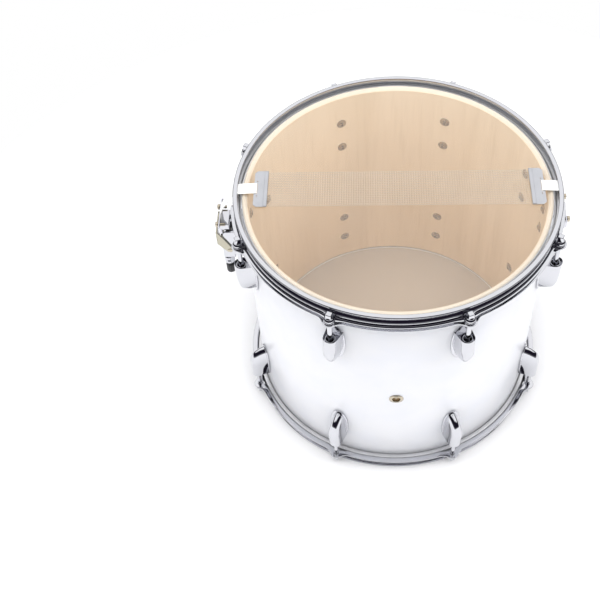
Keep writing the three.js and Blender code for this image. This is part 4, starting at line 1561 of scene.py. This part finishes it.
    def nut(self) -> Work:
        """Models the flanged nut that sits in the mouth.

        Returns:
            The nut.
        """
        work = Work()
        place = Matrix.Translation((self.layout.rod_axis, 0, 0))
        bore, top, foot = self.nut_bore, self.nut_top, self.nut_top + self.nut_height
        work.lathe(rounded([(bore, top + 2.8, 0.2), (4.9, top - 1.7, 0.3), (self.nut_flange, top - 1.7, 0.3),
                            (self.nut_flange, top + 1.5, 0.3), (4.6, foot, 0.3), (bore, foot, 0.1)], steps=3),
                   36, place=place)
        return work


@dataclass
class Snares:
    """Twenty coiled wires between two pressed end plates."""

    layout: Layout
    strands: int = 20
    pitch: float = 2.7
    coil: float = 0.54
    wire: float = 0.38
    turn: float = 2.75
    half_length: float = 151.0
    depth: float = 4.2
    shift: float = 2.0
    plate_inner: float = 149.2
    plate_outer: float = 165.2
    plate_half: float = 28.0
    plate_top: float = 2.8
    plate: float = 1.0
    chamfer: float = 3.5
    slot_at: float = 162.2
    slot: float = 1.6
    strap_half: float = 8.1
    hole: float = 0.75
    hole_past: float = 3.4
    rib: float = 4.6
    coil_steps: int = 8

    def build(self) -> None:
        """Builds the wires and the end plates."""
        place = End.SNARE.place(self.layout) @ Matrix.Translation((self.shift, 0, 0))
        wires = Work()
        coil = self.coil_shape()
        rows = [Matrix.Translation((0, (i - (self.strands - 1) / 2) * self.pitch, self.depth))
                for i in range(self.strands)]
        wires.stamp(coil, rows)
        wires.piece("snare_coils", FINISHES.wire, "drum", ["snare_wires"], "snare_steel", place, sharp=80.0)
        for side, name in ((-1, "strainer_side"), (1, "butt_side")):
            work = self.end_plate(side)
            work.piece(f"snare_plate_{name}", FINISHES.pressed_steel, "drum", ["snare_wires"], "snare_steel",
                       place, weighted=True)

    def coil_shape(self) -> Work:
        """Winds one wire along X.

        Returns:
            The wire.
        """
        work = Work()
        turns = round(2 * self.half_length / self.turn)
        steps = turns * self.coil_steps
        made = bmesh.ops.create_circle(work.bm, segments=4, radius=self.wire)["verts"]
        place = Matrix.Translation((-self.half_length, self.coil, 0))
        bmesh.ops.transform(work.bm, matrix=place @ Matrix.Rotation(math.pi / 2, 4, "Y"), verts=made)
        geometry = work.bm.verts[:] + work.bm.edges[:]
        bmesh.ops.spin(work.bm, geom=geometry, cent=(0, 0, 0), axis=(1, 0, 0), angle=2 * math.pi * turns,
                       steps=steps, dvec=(2 * self.half_length / steps, 0, 0))
        bmesh.ops.holes_fill(work.bm, edges=[edge for edge in work.bm.edges if edge.is_boundary])
        return work

    def end_plate(self, side: int) -> Work:
        """Presses one end plate: chamfered outer corners, strap slot, two holes and a joggle over the wires.

        Args:
            side: 1 towards +X, -1 towards -X.

        Returns:
            The plate.
        """
        work = Work()
        inner, outer, half, cut = self.plate_inner, self.plate_outer, self.plate_half, self.chamfer
        corner = 0.8
        outline = rounded([
            (inner, -half, corner), (outer - cut, -half, corner), (outer, -half + cut, corner),
            (outer, half - cut, corner), (outer - cut, half, corner), (inner, half, corner)], steps=3)
        top = self.plate_top
        work.slab(outline, top, top + self.plate, bevel=0.2, segments=2)
        tool = Work()
        tool.block((self.slot_at - self.slot / 2, -self.strap_half, top - 2),
                   (self.slot_at + self.slot / 2, self.strap_half, top + 3))
        for place in (-1, 1):
            hole = Matrix.Translation((self.slot_at - 0.6, place * (self.strap_half + self.hole_past), 0))
            tool.rod(self.hole, top - 2, top + 3, 12, hole)
        work.carve(tool)
        rib = Work()
        rib.block((inner + 0.2, -half + 0.6, top - 0.5), (inner + self.rib, half - 0.6, top + 0.4), 0.45)
        work.stamp(rib)
        if side < 0:
            bmesh.ops.transform(work.bm, matrix=Matrix.Rotation(math.pi, 4, "Z"), verts=work.bm.verts[:])
        return work


@dataclass
class Straps:
    """The two straps that hold the snare wires to the strainer and to the butt plate."""

    layout: Layout
    width: float = 15.6
    thick: float = 0.7
    slot_at: float = 162.2
    shift: float = 2.0
    slot_to_edge: float = 3.0
    level: float = 2.15
    gate: float = 182.0
    gate_level: float = 3.05
    wall: float = 186.4
    straight: float = 5.5
    butt_clamp: Point = (192.65, 34.0, 45.7)
    strainer_clamp: Point = (206.15, 43.0, 53.7)

    def build(self) -> None:
        """Builds both straps."""
        place = End.SNARE.place(self.layout)
        butt = self.ribbon(self.slot_at + self.shift, *self.butt_clamp)
        butt.piece("butt_strap_ribbon", FINISHES.strap, "drum", ["butt_strap"], "white_strap", place)
        strainer = self.ribbon(self.slot_at - self.shift, *self.strainer_clamp)
        ribbon = strainer.piece("strainer_strap_ribbon", FINISHES.strap, None, ["strainer_strap"],
                                "white_strap", place @ Matrix.Rotation(math.pi, 4, "Z"))
        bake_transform(ribbon)

    def ribbon(self, slot: float, out: float, clamp_top: float, clamp_foot: float) -> Work:
        """Bends a strap from the end plate, through the gate and down into its clamp.

        Args:
            slot: Distance of the end plate's slot from the axis.
            out: The strap's distance from the axis in the clamp.
            clamp_top: Depth of the clamp's top.
            clamp_foot: Depth of the strap's end.

        Returns:
            The strap.
        """
        path = rounded([
            (slot, self.level + 1.6, 0), (slot, self.level, 0.6),
            (slot + self.slot_to_edge + 0.7, self.level, 8.0),
            (self.gate + 1.0, self.gate_level, 6.0), (self.wall + 1.2, self.gate_level + 2.6, 3.5),
            (out - (out - self.wall) * 0.25, self.gate_level + (clamp_top - self.gate_level) * 0.6, 12.0),
            (out, clamp_top - self.straight, 5.0), (out, clamp_foot, 0)], closed=False, steps=8)
        work = Work()
        turn = Matrix.Translation((0, self.width / 2, 0)) @ Matrix.Rotation(math.pi / 2, 4, "X")
        work.slab(thickened(path, self.thick), 0.0, self.width, turn, 0.12, 2)
        return work


@dataclass
class Fitting:
    """What the strainer and the butt plate share: a screwed base, and a plate that clamps the strap."""

    layout: Layout
    base_face: float = 180.8
    base_play: float = 0.15
    plate: float = 1.5
    plate_at: float = 194.1
    plate_past: float = 0.9
    plate_half: float = 4.0
    plate_bend: float = 4.3
    hook: float = 2.1
    screw_seat: float = 195.2
    screw_at: float = 17.5
    head: float = 2.5
    head_length: float = 3.6
    rim: float = 0.9
    shank: float = 1.9
    shank_length: float = 8.0

    def base(self, half: float, low: float, high: float, face: float) -> Work:
        """Models a base plate that fits the shell's curve.

        Args:
            half: Half its width.
            low: Depth of its top.
            high: Depth of its foot.
            face: Distance of its front from the axis.

        Returns:
            The plate.
        """
        work, tool = Work(), Work()
        work.facing(flat_box(half, low, high, 4.0), self.layout.shell_radius, face, 0.9)
        tool.rod(self.layout.wrap_radius + self.base_play, low - 5, high + 5, RING_STEPS)
        work.carve(tool)
        return work

    def clamp_plate(self, middle: float, half: float, low: float, high: float) -> Work:
        """Bends a clamp plate, with its ends hooked back round the bar.

        Args:
            middle: Distance of its mid thickness from the axis.
            half: Half its straight length.
            low: Depth of its top.
            high: Depth of its foot.

        Returns:
            The plate.
        """
        back, side = middle - self.plate_bend, half + self.hook
        path = rounded([(back, -side, 0), (middle, -half, 1.3), (middle, half, 1.3), (back, side, 0)],
                       closed=False)
        work = Work()
        work.slab(thickened(path, self.plate), low, high, bevel=0.35, segments=2)
        return work

    def clamp_screw(self, seat: float, across: float, depth: float) -> Work:
        """Models a square-headed clamp screw.

        Args:
            seat: Distance of the head's underside from the axis.
            across: Its place along Y.
            depth: Its depth.

        Returns:
            The screw.
        """
        work, half, rim = Work(), self.head, self.head + self.rim
        work.block((seat + 0.7, across - half, depth - half),
                   (seat + self.head_length, across + half, depth + half), 0.6)
        work.lathe(rounded([
            (0.0, -self.shank_length, 0), (self.shank, -self.shank_length, 0.4), (self.shank, 0.0, 0),
            (rim, 0.0, 0.2), (rim, 0.8, 0.3), (0.0, 1.2, 0)], closed=False, steps=3),
            SMALL_STEPS, closed=False, place=outwards(seat, across, depth))
        return work

    def strap_clamp(self, side: str, body: str, half: float, depth: float, place: Matrix) -> None:
        """Builds the plate that clamps a strap and its two screws.

        Args:
            side: The fitting's name in the names of its pieces and nodes.
            body: The body that they ride on.
            half: Half the length of the bar that the strap is clamped to.
            depth: Depth of the plate's middle.
            place: Where they go.
        """
        plate = self.clamp_plate(self.plate_at, half + self.plate_past, depth - self.plate_half,
                                 depth + self.plate_half)
        plate.piece(f"{side}_strap_plate", FINISHES.zinc, body, [f"{side}_clamp_plate"], "zinc", place,
                    weighted=True)
        for number, way in enumerate((-1, 1), 1):
            screw = self.clamp_screw(self.screw_seat, way * self.screw_at, depth)
            screw.piece(f"{side}_strap_screw_{number}", FINISHES.nickel, body,
                        [f"{side}_clamp_screw_{number}"], "nickel", place, weighted=True)


@dataclass
class Strainer(Fitting):
    """The snare strainer: a base with two cheeks, a sliding carriage, its lever, the clamp and the knob."""

    plate_at: float = 207.6
    screw_seat: float = 208.7
    screw_at: float = 14.0
    base_half: float = 19.0
    base_top: float = 36.0
    base_foot: float = 112.0
    screw_depths: tuple[float, float] = (44.0, 104.0)
    boss: float = 5.0
    boss_shoulder: float = 4.4
    boss_crown: float = 2.6
    boss_rise: float = 6.0
    cheek_inner: float = 12.8
    cheek_outer: float = 15.3
    cheek_front: float = 205.8
    cheek_top: float = 62.0
    cheek_foot: float = 108.0
    cheek_cut: float = 2.5
    pivot: tuple[float, float] = (199.0, 92.0)
    pin: float = 1.8
    pin_play: float = 0.1
    pin_bore: float = 20.0
    arm_inner: float = 15.7
    arm_outer: float = 17.7
    blade_back: float = 211.4
    blade_front: float = 213.9
    blade_top: float = 60.0
    blade_foot: float = 80.0
    eye: float = 3.0
    ribs: int = 4
    rib_rise: float = 0.5
    rib_start: float = 2.6
    rib_pitch: float = 1.9
    rib_width: float = 0.9
    rib_half: float = 12.0
    carriage_back: float = 194.0
    carriage_front: float = 209.0
    carriage_half: float = 12.4
    carriage_top: float = 65.0
    carriage_foot: float = 112.0
    carriage_slant: float = 4.0
    panel: tuple[float, float, float] = (8.2, 75.0, 106.0)
    panel_depth: float = 0.9
    travel: float = 6.0
    stem_axis: float = 205.0
    stem: float = 2.0
    stem_play: float = 0.3
    stem_bore: tuple[float, float] = (60.0, 140.0)
    neck: float = 4.1
    housing: float = 6.5
    housing_top: float = 119.0
    housing_foot: float = 133.0
    socket_half: float = 1.8
    socket_floor: float = 3.2
    socket_top: float = 124.2
    socket_foot: float = 127.8
    clamp_top: float = 43.0
    clamp_foot: float = 54.0
    clamp_back: float = 196.8
    clamp_front: float = 205.5
    clamp_half: float = 22.0
    clamp_bore: tuple[float, float] = (52.0, 63.0)
    tang_foot: float = 61.0
    screw_top: float = 57.0
    screw_end: float = 142.0
    thread: float = 0.9
    thread_depth: float = 0.3
    knob: float = 5.6
    knob_foot: float = 3.6
    knob_foot_top: float = 133.4
    knob_top: float = 136.6
    knob_end: float = 150.0
    flutes: int = 14
    flute_depth: float = 0.45
    dish_depth: float = 1.0

    def build(self) -> None:
        """Builds every piece of the strainer."""
        chrome, place = FINISHES.chrome, End.SNARE.place(self.layout) @ Matrix.Rotation(math.pi, 4, "Z")
        self.base_casting().piece("strainer_base_casting", chrome, "drum", ["strainer_base"], "chrome", place,
                                  weighted=True)
        shell_screws(self.layout, self.screw_depths).piece("strainer_shell_screws", FINISHES.nickel, "drum",
                                                           ["strainer_base"], "chrome", place)
        self.pivot_pin().piece("strainer_pivot_pin", FINISHES.nickel, "drum", ["lever_pivot_pin"], "nickel",
                               place)
        self.lever().piece("throw_off_lever_casting", FINISHES.lever_plating, "lever", ["strainer_lever"],
                           "chrome", place, weighted=True)
        self.carriage().piece("strainer_carriage_body", chrome, "carriage", ["strainer_carriage"], "chrome",
                              place, weighted=True)
        self.clamp_block().piece("strainer_clamp_bar", chrome, "clamp", ["strainer_clamp_block"], "chrome",
                                 place, weighted=True)
        self.strap_clamp("strainer", "clamp", self.clamp_half, (self.clamp_top + self.clamp_foot) / 2, place)
        self.grip().piece("fluted_tension_knob", FINISHES.knob, "knob", ["tension_knob"], "black_knob", place)
        self.tension_screw().piece("strainer_tension_screw", FINISHES.nickel, "knob", ["tension_screw"],
                                   "nickel", place)

    def base_casting(self) -> Work:
        """Models the base plate with its cheeks and screw bosses.

        Returns:
            The casting.
        """
        work = self.base(self.base_half, self.base_top, self.base_foot, self.base_face)
        root, front, (_, pivot) = self.base_face - 1.0, self.cheek_front, self.pivot
        top, cut = self.cheek_top, self.cheek_cut
        outline = rounded([(root, top, 0), (front - cut, top, 2.0), (front, top + cut, 2.0),
                           (front, pivot + 6, 6.0), (root, self.cheek_foot, 0)])
        for side in (-1, 1):
            low, high = sorted((side * self.cheek_inner, side * self.cheek_outer))
            work.across(outline, low, high, 0.5)
        work.carve(self.pin_drill())
        dome = rounded([(0.0, -0.5, 0), (self.boss, -0.5, 0), (self.boss, self.boss_shoulder, 1.4),
                        (self.boss_crown, self.boss_rise, 0.6), (0.0, self.boss_rise, 0)], closed=False)
        for depth in self.screw_depths:
            work.lathe(dome, SMALL_STEPS, closed=False, place=outwards(self.base_face, 0.0, depth))
        return work

    def along_pin(self) -> Matrix:
        """Gives the pivot's own frame, with Z along the pin."""
        out, depth = self.pivot
        return Matrix.Translation((out, 0, depth)) @ Matrix.Rotation(math.pi / 2, 4, "X")

    def along_stem(self) -> Matrix:
        """Gives the tension screw's own frame, with Z along the screw."""
        return Matrix.Translation((self.stem_axis, 0, 0))

    def pin_drill(self) -> Work:
        """Makes the cutter for the pivot pin's bore.

        Returns:
            The cutter.
        """
        tool = Work()
        tool.rod(self.pin + self.pin_play, -self.pin_bore, self.pin_bore, place=self.along_pin())
        return tool

    def pivot_pin(self) -> Work:
        """Models the pin with its two riveted heads.

        Returns:
            The pin.
        """
        face, head, rise = self.arm_outer + 0.05, self.pin + 1.1, 0.8
        half = [(self.pin, 0.0, 0), (self.pin, face, 0), (head, face, 0.1), (head, face + 0.4, 0.3),
                (0.0, face + rise, 0)]
        outline = rounded(half, closed=False, steps=3)
        work = Work()
        for turn in (Matrix.Identity(4), Matrix.Rotation(math.pi, 4, "X")):
            work.lathe(outline, SMALL_STEPS, closed=False, place=self.along_pin() @ turn)
        return work

    def lever(self) -> Work:
        """Models the lever: a thumb blade with ribs between two arms.

        Returns:
            The lever.
        """
        out, depth = self.pivot
        eye, front = self.eye, self.blade_front - self.rib_rise
        arm = rounded([(out - eye, depth - eye, 2.5), (self.blade_back, self.blade_top, 0.8),
                       (front, self.blade_top, 0.8), (front, self.blade_foot, 2.0),
                       (out + eye, depth + eye, 2.8), (out - eye, depth + eye, 2.8)])
        work = Work()
        for side in (-1, 1):
            low, high = sorted((side * self.arm_inner, side * self.arm_outer))
            work.across(arm, low, high, 0.4)
        work.carve(self.pin_drill())
        blade = Work()
        blade.facing(rounded([(-self.arm_outer, self.blade_foot, 1.0), (-self.arm_outer, self.blade_top, 4.0),
                              (self.arm_outer, self.blade_top, 4.0), (self.arm_outer, self.blade_foot, 1.0)]),
                     self.blade_back, front, 0.6)
        for rib in range(self.ribs):
            at = self.blade_top + self.rib_start + self.rib_pitch * rib
            blade.block((self.blade_front - 1.0, -self.rib_half, at),
                        (self.blade_front, self.rib_half, at + self.rib_width), 0.3, 2)
        return work.stamp(blade)

    def carriage(self) -> Work:
        """Models the carriage with its sunk panel, pivot slots, neck and round housing.

        Returns:
            The carriage.
        """
        work, half = Work(), self.carriage_half
        verts = work.block((self.carriage_back, -half, self.carriage_top),
                           (self.carriage_front, half, self.carriage_foot))
        for vert in verts:
            if vert.co.z < self.carriage_foot - 1 and vert.co.x > self.stem_axis:
                vert.co.z += self.carriage_slant
        work.bevel(work.creases(), 1.6)
        out, depth = self.pivot
        slot, clear = self.pin + 0.3, half + 3.0
        tools = [Work() for _ in range(3)]
        tools[0].block((out - slot, -clear, depth - slot), (out + slot, clear, depth + self.travel + slot),
                       slot - 0.05, 4)
        tools[1].facing(flat_box(*self.panel, 2.5), self.carriage_front - self.panel_depth,
                        self.carriage_front + 3)
        bore = self.stem + self.stem_play
        tools[2].rod(bore, *self.stem_bore, place=self.along_stem())
        for tool in tools:
            work.carve(tool)
        top, foot, wide, root = self.housing_top, self.housing_foot, self.housing, self.carriage_foot - 1.6
        barrel = Work()
        barrel.lathe(rounded([
            (bore, root, 0), (self.neck, root, 0), (self.neck, top, 1.0), (wide, top + 1.6, 1.6),
            (wide, foot - 1.6, 1.6), (3.9, foot, 1.0), (bore, foot, 0)]), place=self.along_stem())
        socket = Work()
        socket.block((self.stem_axis - self.socket_half, -wide - 2, self.socket_top),
                     (self.stem_axis + self.socket_half, -self.socket_floor, self.socket_foot))
        barrel.carve(socket)
        return work.stamp(barrel)

    def clamp_block(self) -> Work:
        """Models the bar that the strap is clamped against and the tang that the screw draws.

        Returns:
            The block.
        """
        work = Work()
        work.block((self.clamp_back, -self.clamp_half, self.clamp_top),
                   (self.clamp_front, self.clamp_half, self.clamp_foot), 1.0)
        work.block((self.clamp_back + 0.1, -self.carriage_half, self.clamp_foot - 3.0),
                   (self.carriage_front, self.carriage_half, self.tang_foot), 1.0)
        tool = Work()
        tool.rod(self.stem + self.stem_play / 2, *self.clamp_bore, place=self.along_stem())
        work.carve(tool)
        return work

    def grip(self) -> Work:
        """Models the fluted knob with its foot and its dished end.

        Returns:
            The knob.
        """
        steps = 8 * self.flutes
        angles = [2 * math.pi * k / steps for k in range(steps)]
        radii = [self.knob - self.flute_depth * abs(math.cos(self.flutes * angle / 2)) ** 3
                 for angle in angles]
        place = self.along_stem()
        work, dish = Work(), Work()
        work.slab([(r * math.cos(a), r * math.sin(a)) for r, a in zip(radii, angles)], self.knob_top,
                  self.knob_end, place, 0.5, 3)
        floor, past = self.knob_end - self.dish_depth, self.knob_end + self.dish_depth
        dish.lathe(rounded([(0.0, floor, 0), (3.4, floor, 0.5), (3.9, past, 0), (0.0, past, 0)],
                           closed=False), closed=False, place=place)
        work.carve(dish)
        foot = Work()
        bore, wide = self.stem + self.stem_play, self.knob_foot
        top, low = self.knob_foot_top, self.knob_top + 0.5
        foot.lathe(rounded([(bore, top, 0.2), (wide, top, 0.4), (wide, low, 0), (bore, low, 0)]), SMALL_STEPS,
                   place=place)
        return work.stamp(foot)

    def tension_screw(self) -> Work:
        """Turns the threaded screw.

        Returns:
            The screw.
        """
        low, high, thread = self.screw_top, self.screw_end, self.thread
        turns = int((high - low) / thread)
        outline = [(0.0, low)]
        for k in range(turns):
            outline += [(self.stem - self.thread_depth, low + thread * k),
                        (self.stem, low + thread * (k + 0.5))]
        outline.append((0.0, high))
        work = Work()
        work.lathe(outline, 16, closed=False, place=self.along_stem())
        return work


@dataclass
class ButtPlate(Fitting):
    """The butt plate: a base with a raised block and a bar, and the plate that clamps the strap to it."""

    base_half: float = 18.0
    top: float = 34.0
    foot: float = 82.0
    front: float = 192.0
    block_half: float = 13.0
    bar_back: float = 183.0
    bar_half: float = 25.0
    bar_foot: float = 46.0
    slope: float = 12.0
    nose: float = 3.0
    screw_depths: tuple[float, float] = (42.0, 74.0)

    def build(self) -> None:
        """Builds the butt plate and its clamp."""
        place = End.SNARE.place(self.layout)
        work = self.base(self.base_half, self.top, self.foot, self.base_face)
        root, low = self.base_face - 1.0, self.foot - self.nose
        work.across(rounded([
            (root, self.top, 0), (self.front, self.top, 1.5), (self.front, self.foot - self.slope, 8.0),
            (self.base_face + self.nose, low, 3.0), (root, low, 0)]), -self.block_half, self.block_half, 1.2)
        work.block((self.bar_back, -self.bar_half, self.top), (self.front, self.bar_half, self.bar_foot), 1.2)
        work.piece("butt_plate_casting", FINISHES.chrome, "drum", ["butt_plate"], "chrome", place,
                   weighted=True)
        shell_screws(self.layout, self.screw_depths).piece("butt_plate_shell_screws", FINISHES.nickel, "drum",
                                                           ["butt_plate"], "chrome", place)
        self.strap_clamp("butt", "drum", self.bar_half, (self.top + self.bar_foot) / 2, place)


# Room, lamps and camera

@dataclass
class Studio:
    """The floor, the lamps and the camera."""

    layout: Layout
    floor_radius: float = 0.75
    floor_colour: Colour = (0.94, 0.94, 0.943)
    camera_place: Point = (-0.0335, -0.8019, 1.1616)
    yaw: float = -6.284
    pitch: float = 52.805
    roll: float = -5.222
    focal_pixels: float = 1013.2
    frame_pixels: float = 600.0
    sensor: float = 36.0
    ambient: float = 0.765
    ambient_blue: float = 1.02
    lamp_power: float = 30.0
    left_share: float = 0.16
    right_share: float = 0.26
    lamp_aim: Point = (0.0, 0.0, 0.15)
    wall_top: float = 0.42
    wall_rise: float = 0.47
    wall_colour: Colour = (0.014, 0.011, 0.022)
    low_colour: Colour = (0.2, 0.2, 0.215)
    top_colour: Colour = (1.26, 1.26, 1.27)

    def build(self) -> None:
        """Builds the room and sets the view."""
        bpy.context.scene.view_settings.view_transform = "Standard"
        self.floor()
        self.world()
        self.lamps()
        self.camera()

    def floor(self) -> None:
        """Lays the floor under the batter hoop."""
        bm = bmesh.new()
        level = self.layout.batter_rim * MM
        bmesh.ops.create_circle(bm, cap_ends=True, segments=ROUND_STEPS, radius=self.floor_radius,
                                matrix=Matrix.Translation((0, 0, level)))
        mesh = bpy.data.meshes.new("floor")
        bm.to_mesh(mesh)
        floor = bpy.data.objects.new("floor", mesh)
        bpy.context.scene.collection.objects.link(floor)
        made = bpy.data.materials.new("pale_floor")
        made.use_nodes = True
        graph = Graph(made.node_tree)
        graph.surface({"Base Color": self.floor_colour, "Roughness": 0.9, "Specular IOR Level": 0.1})
        mesh.materials.append(made)

    def world(self) -> None:
        """Lights the room evenly: white when seen, with dark walls and a white top where it is mirrored."""
        world = bpy.data.worlds.new("studio")
        world.use_nodes = True
        bpy.context.scene.world = world
        graph = Graph(world.node_tree)
        rays = graph.node("ShaderNodeLightPath")
        x, y, up = graph.axes(graph.node("ShaderNodeTexCoord").outputs["Generated"])
        forward = (0.0 - y) / ((x * x + y * y) ** 0.5).most(0.001)
        wall_top = forward.ramp(-0.3, 0.7) * self.wall_rise + self.wall_top
        wall = graph.mix(up.ramp(0.0, 0.06), self.low_colour, self.wall_colour)
        seen = graph.mix((up - wall_top).ramp(-0.05, 0.05), wall, self.top_colour)
        level = (self.ambient, self.ambient, self.ambient * self.ambient_blue)
        names = ("Is Glossy Ray", "Is Camera Ray", "Is Transmission Ray")
        glossy, camera, through = (Value(graph, rays.outputs[name]) for name in names)
        straight = camera.most(through)
        colour = graph.mix(glossy, level, seen)
        colour = graph.mix(straight, colour, (1.0, 1.0, 1.0))
        back = graph.node("ShaderNodeBackground", None, {"Color": colour, "Strength": 1.0})
        graph.node("ShaderNodeOutputWorld", None, {"Surface": back.outputs[0]})

    def lamps(self) -> None:
        """Hangs one large soft lamp above and a smaller, weaker one on each side."""
        self.lamp("overhead", (-0.1, -0.4, 2.1), 1.9, self.lamp_power)
        self.lamp("left", (-1.7, -0.2, 1.4), 0.9, self.lamp_power * self.left_share)
        self.lamp("right", (1.7, -0.3, 1.3), 0.9, self.lamp_power * self.right_share)

    def lamp(self, name: str, place: Point, size: float, power: float) -> None:
        """Hangs a soft square lamp that points at the drum.

        Args:
            name: The lamp's name.
            place: Where it hangs, in metres.
            size: Its side, in metres.
            power: Its power in watts.
        """
        data = bpy.data.lights.new(name, "AREA")
        data.shape, data.size, data.energy = "SQUARE", size, power
        lamp = bpy.data.objects.new(name, data)
        bpy.context.scene.collection.objects.link(lamp)
        lamp.visible_glossy = False
        lamp.location = place
        aim = Vector(self.lamp_aim) - Vector(place)
        lamp.rotation_mode = "QUATERNION"
        lamp.rotation_quaternion = aim.to_track_quat("-Z", "Y")

    def camera(self) -> None:
        """Sets the camera at the photograph's angle."""
        yaw, pitch, roll = (math.radians(a) for a in (self.yaw, self.pitch, self.roll))
        ahead = Vector((math.sin(yaw) * math.cos(pitch), math.cos(yaw) * math.cos(pitch), -math.sin(pitch)))
        level = Vector((math.cos(yaw), -math.sin(yaw), 0))
        rise = level.cross(ahead)
        right = level * math.cos(roll) + rise * math.sin(roll)
        up = rise * math.cos(roll) - level * math.sin(roll)
        data = bpy.data.cameras.new("camera")
        data.sensor_width = self.sensor
        data.lens = self.focal_pixels * self.sensor / self.frame_pixels
        camera = bpy.data.objects.new("camera", data)
        bpy.context.scene.collection.objects.link(camera)
        turn = Matrix((right, up, -ahead)).transposed().to_4x4()
        camera.matrix_world = Matrix.Translation(self.camera_place) @ turn
        bpy.context.scene.camera = camera


def main() -> None:
    """Builds the drum and its studio."""
    logging.basicConfig(level=logging.INFO, format="%(name)s: %(message)s")
    layout = Layout.from_frame()
    log.info("sizes: %s", layout)
    parts: list = [Studio(layout), Shell(layout)]
    for end in End:
        parts += [Head(layout, end), Hoop(layout, end), TensionRod(layout, end), Lug(layout, end)]
    parts += [Snares(layout), Straps(layout), Strainer(layout), ButtPlate(layout)]
    for part in parts:
        part.build()
        log.info("built %s", type(part).__name__)
    bare = [name for name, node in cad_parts.items() if not node.hide_render]
    log.info("nodes not dressed: %s", bare or "none")


if __name__ == "__main__":
    main()
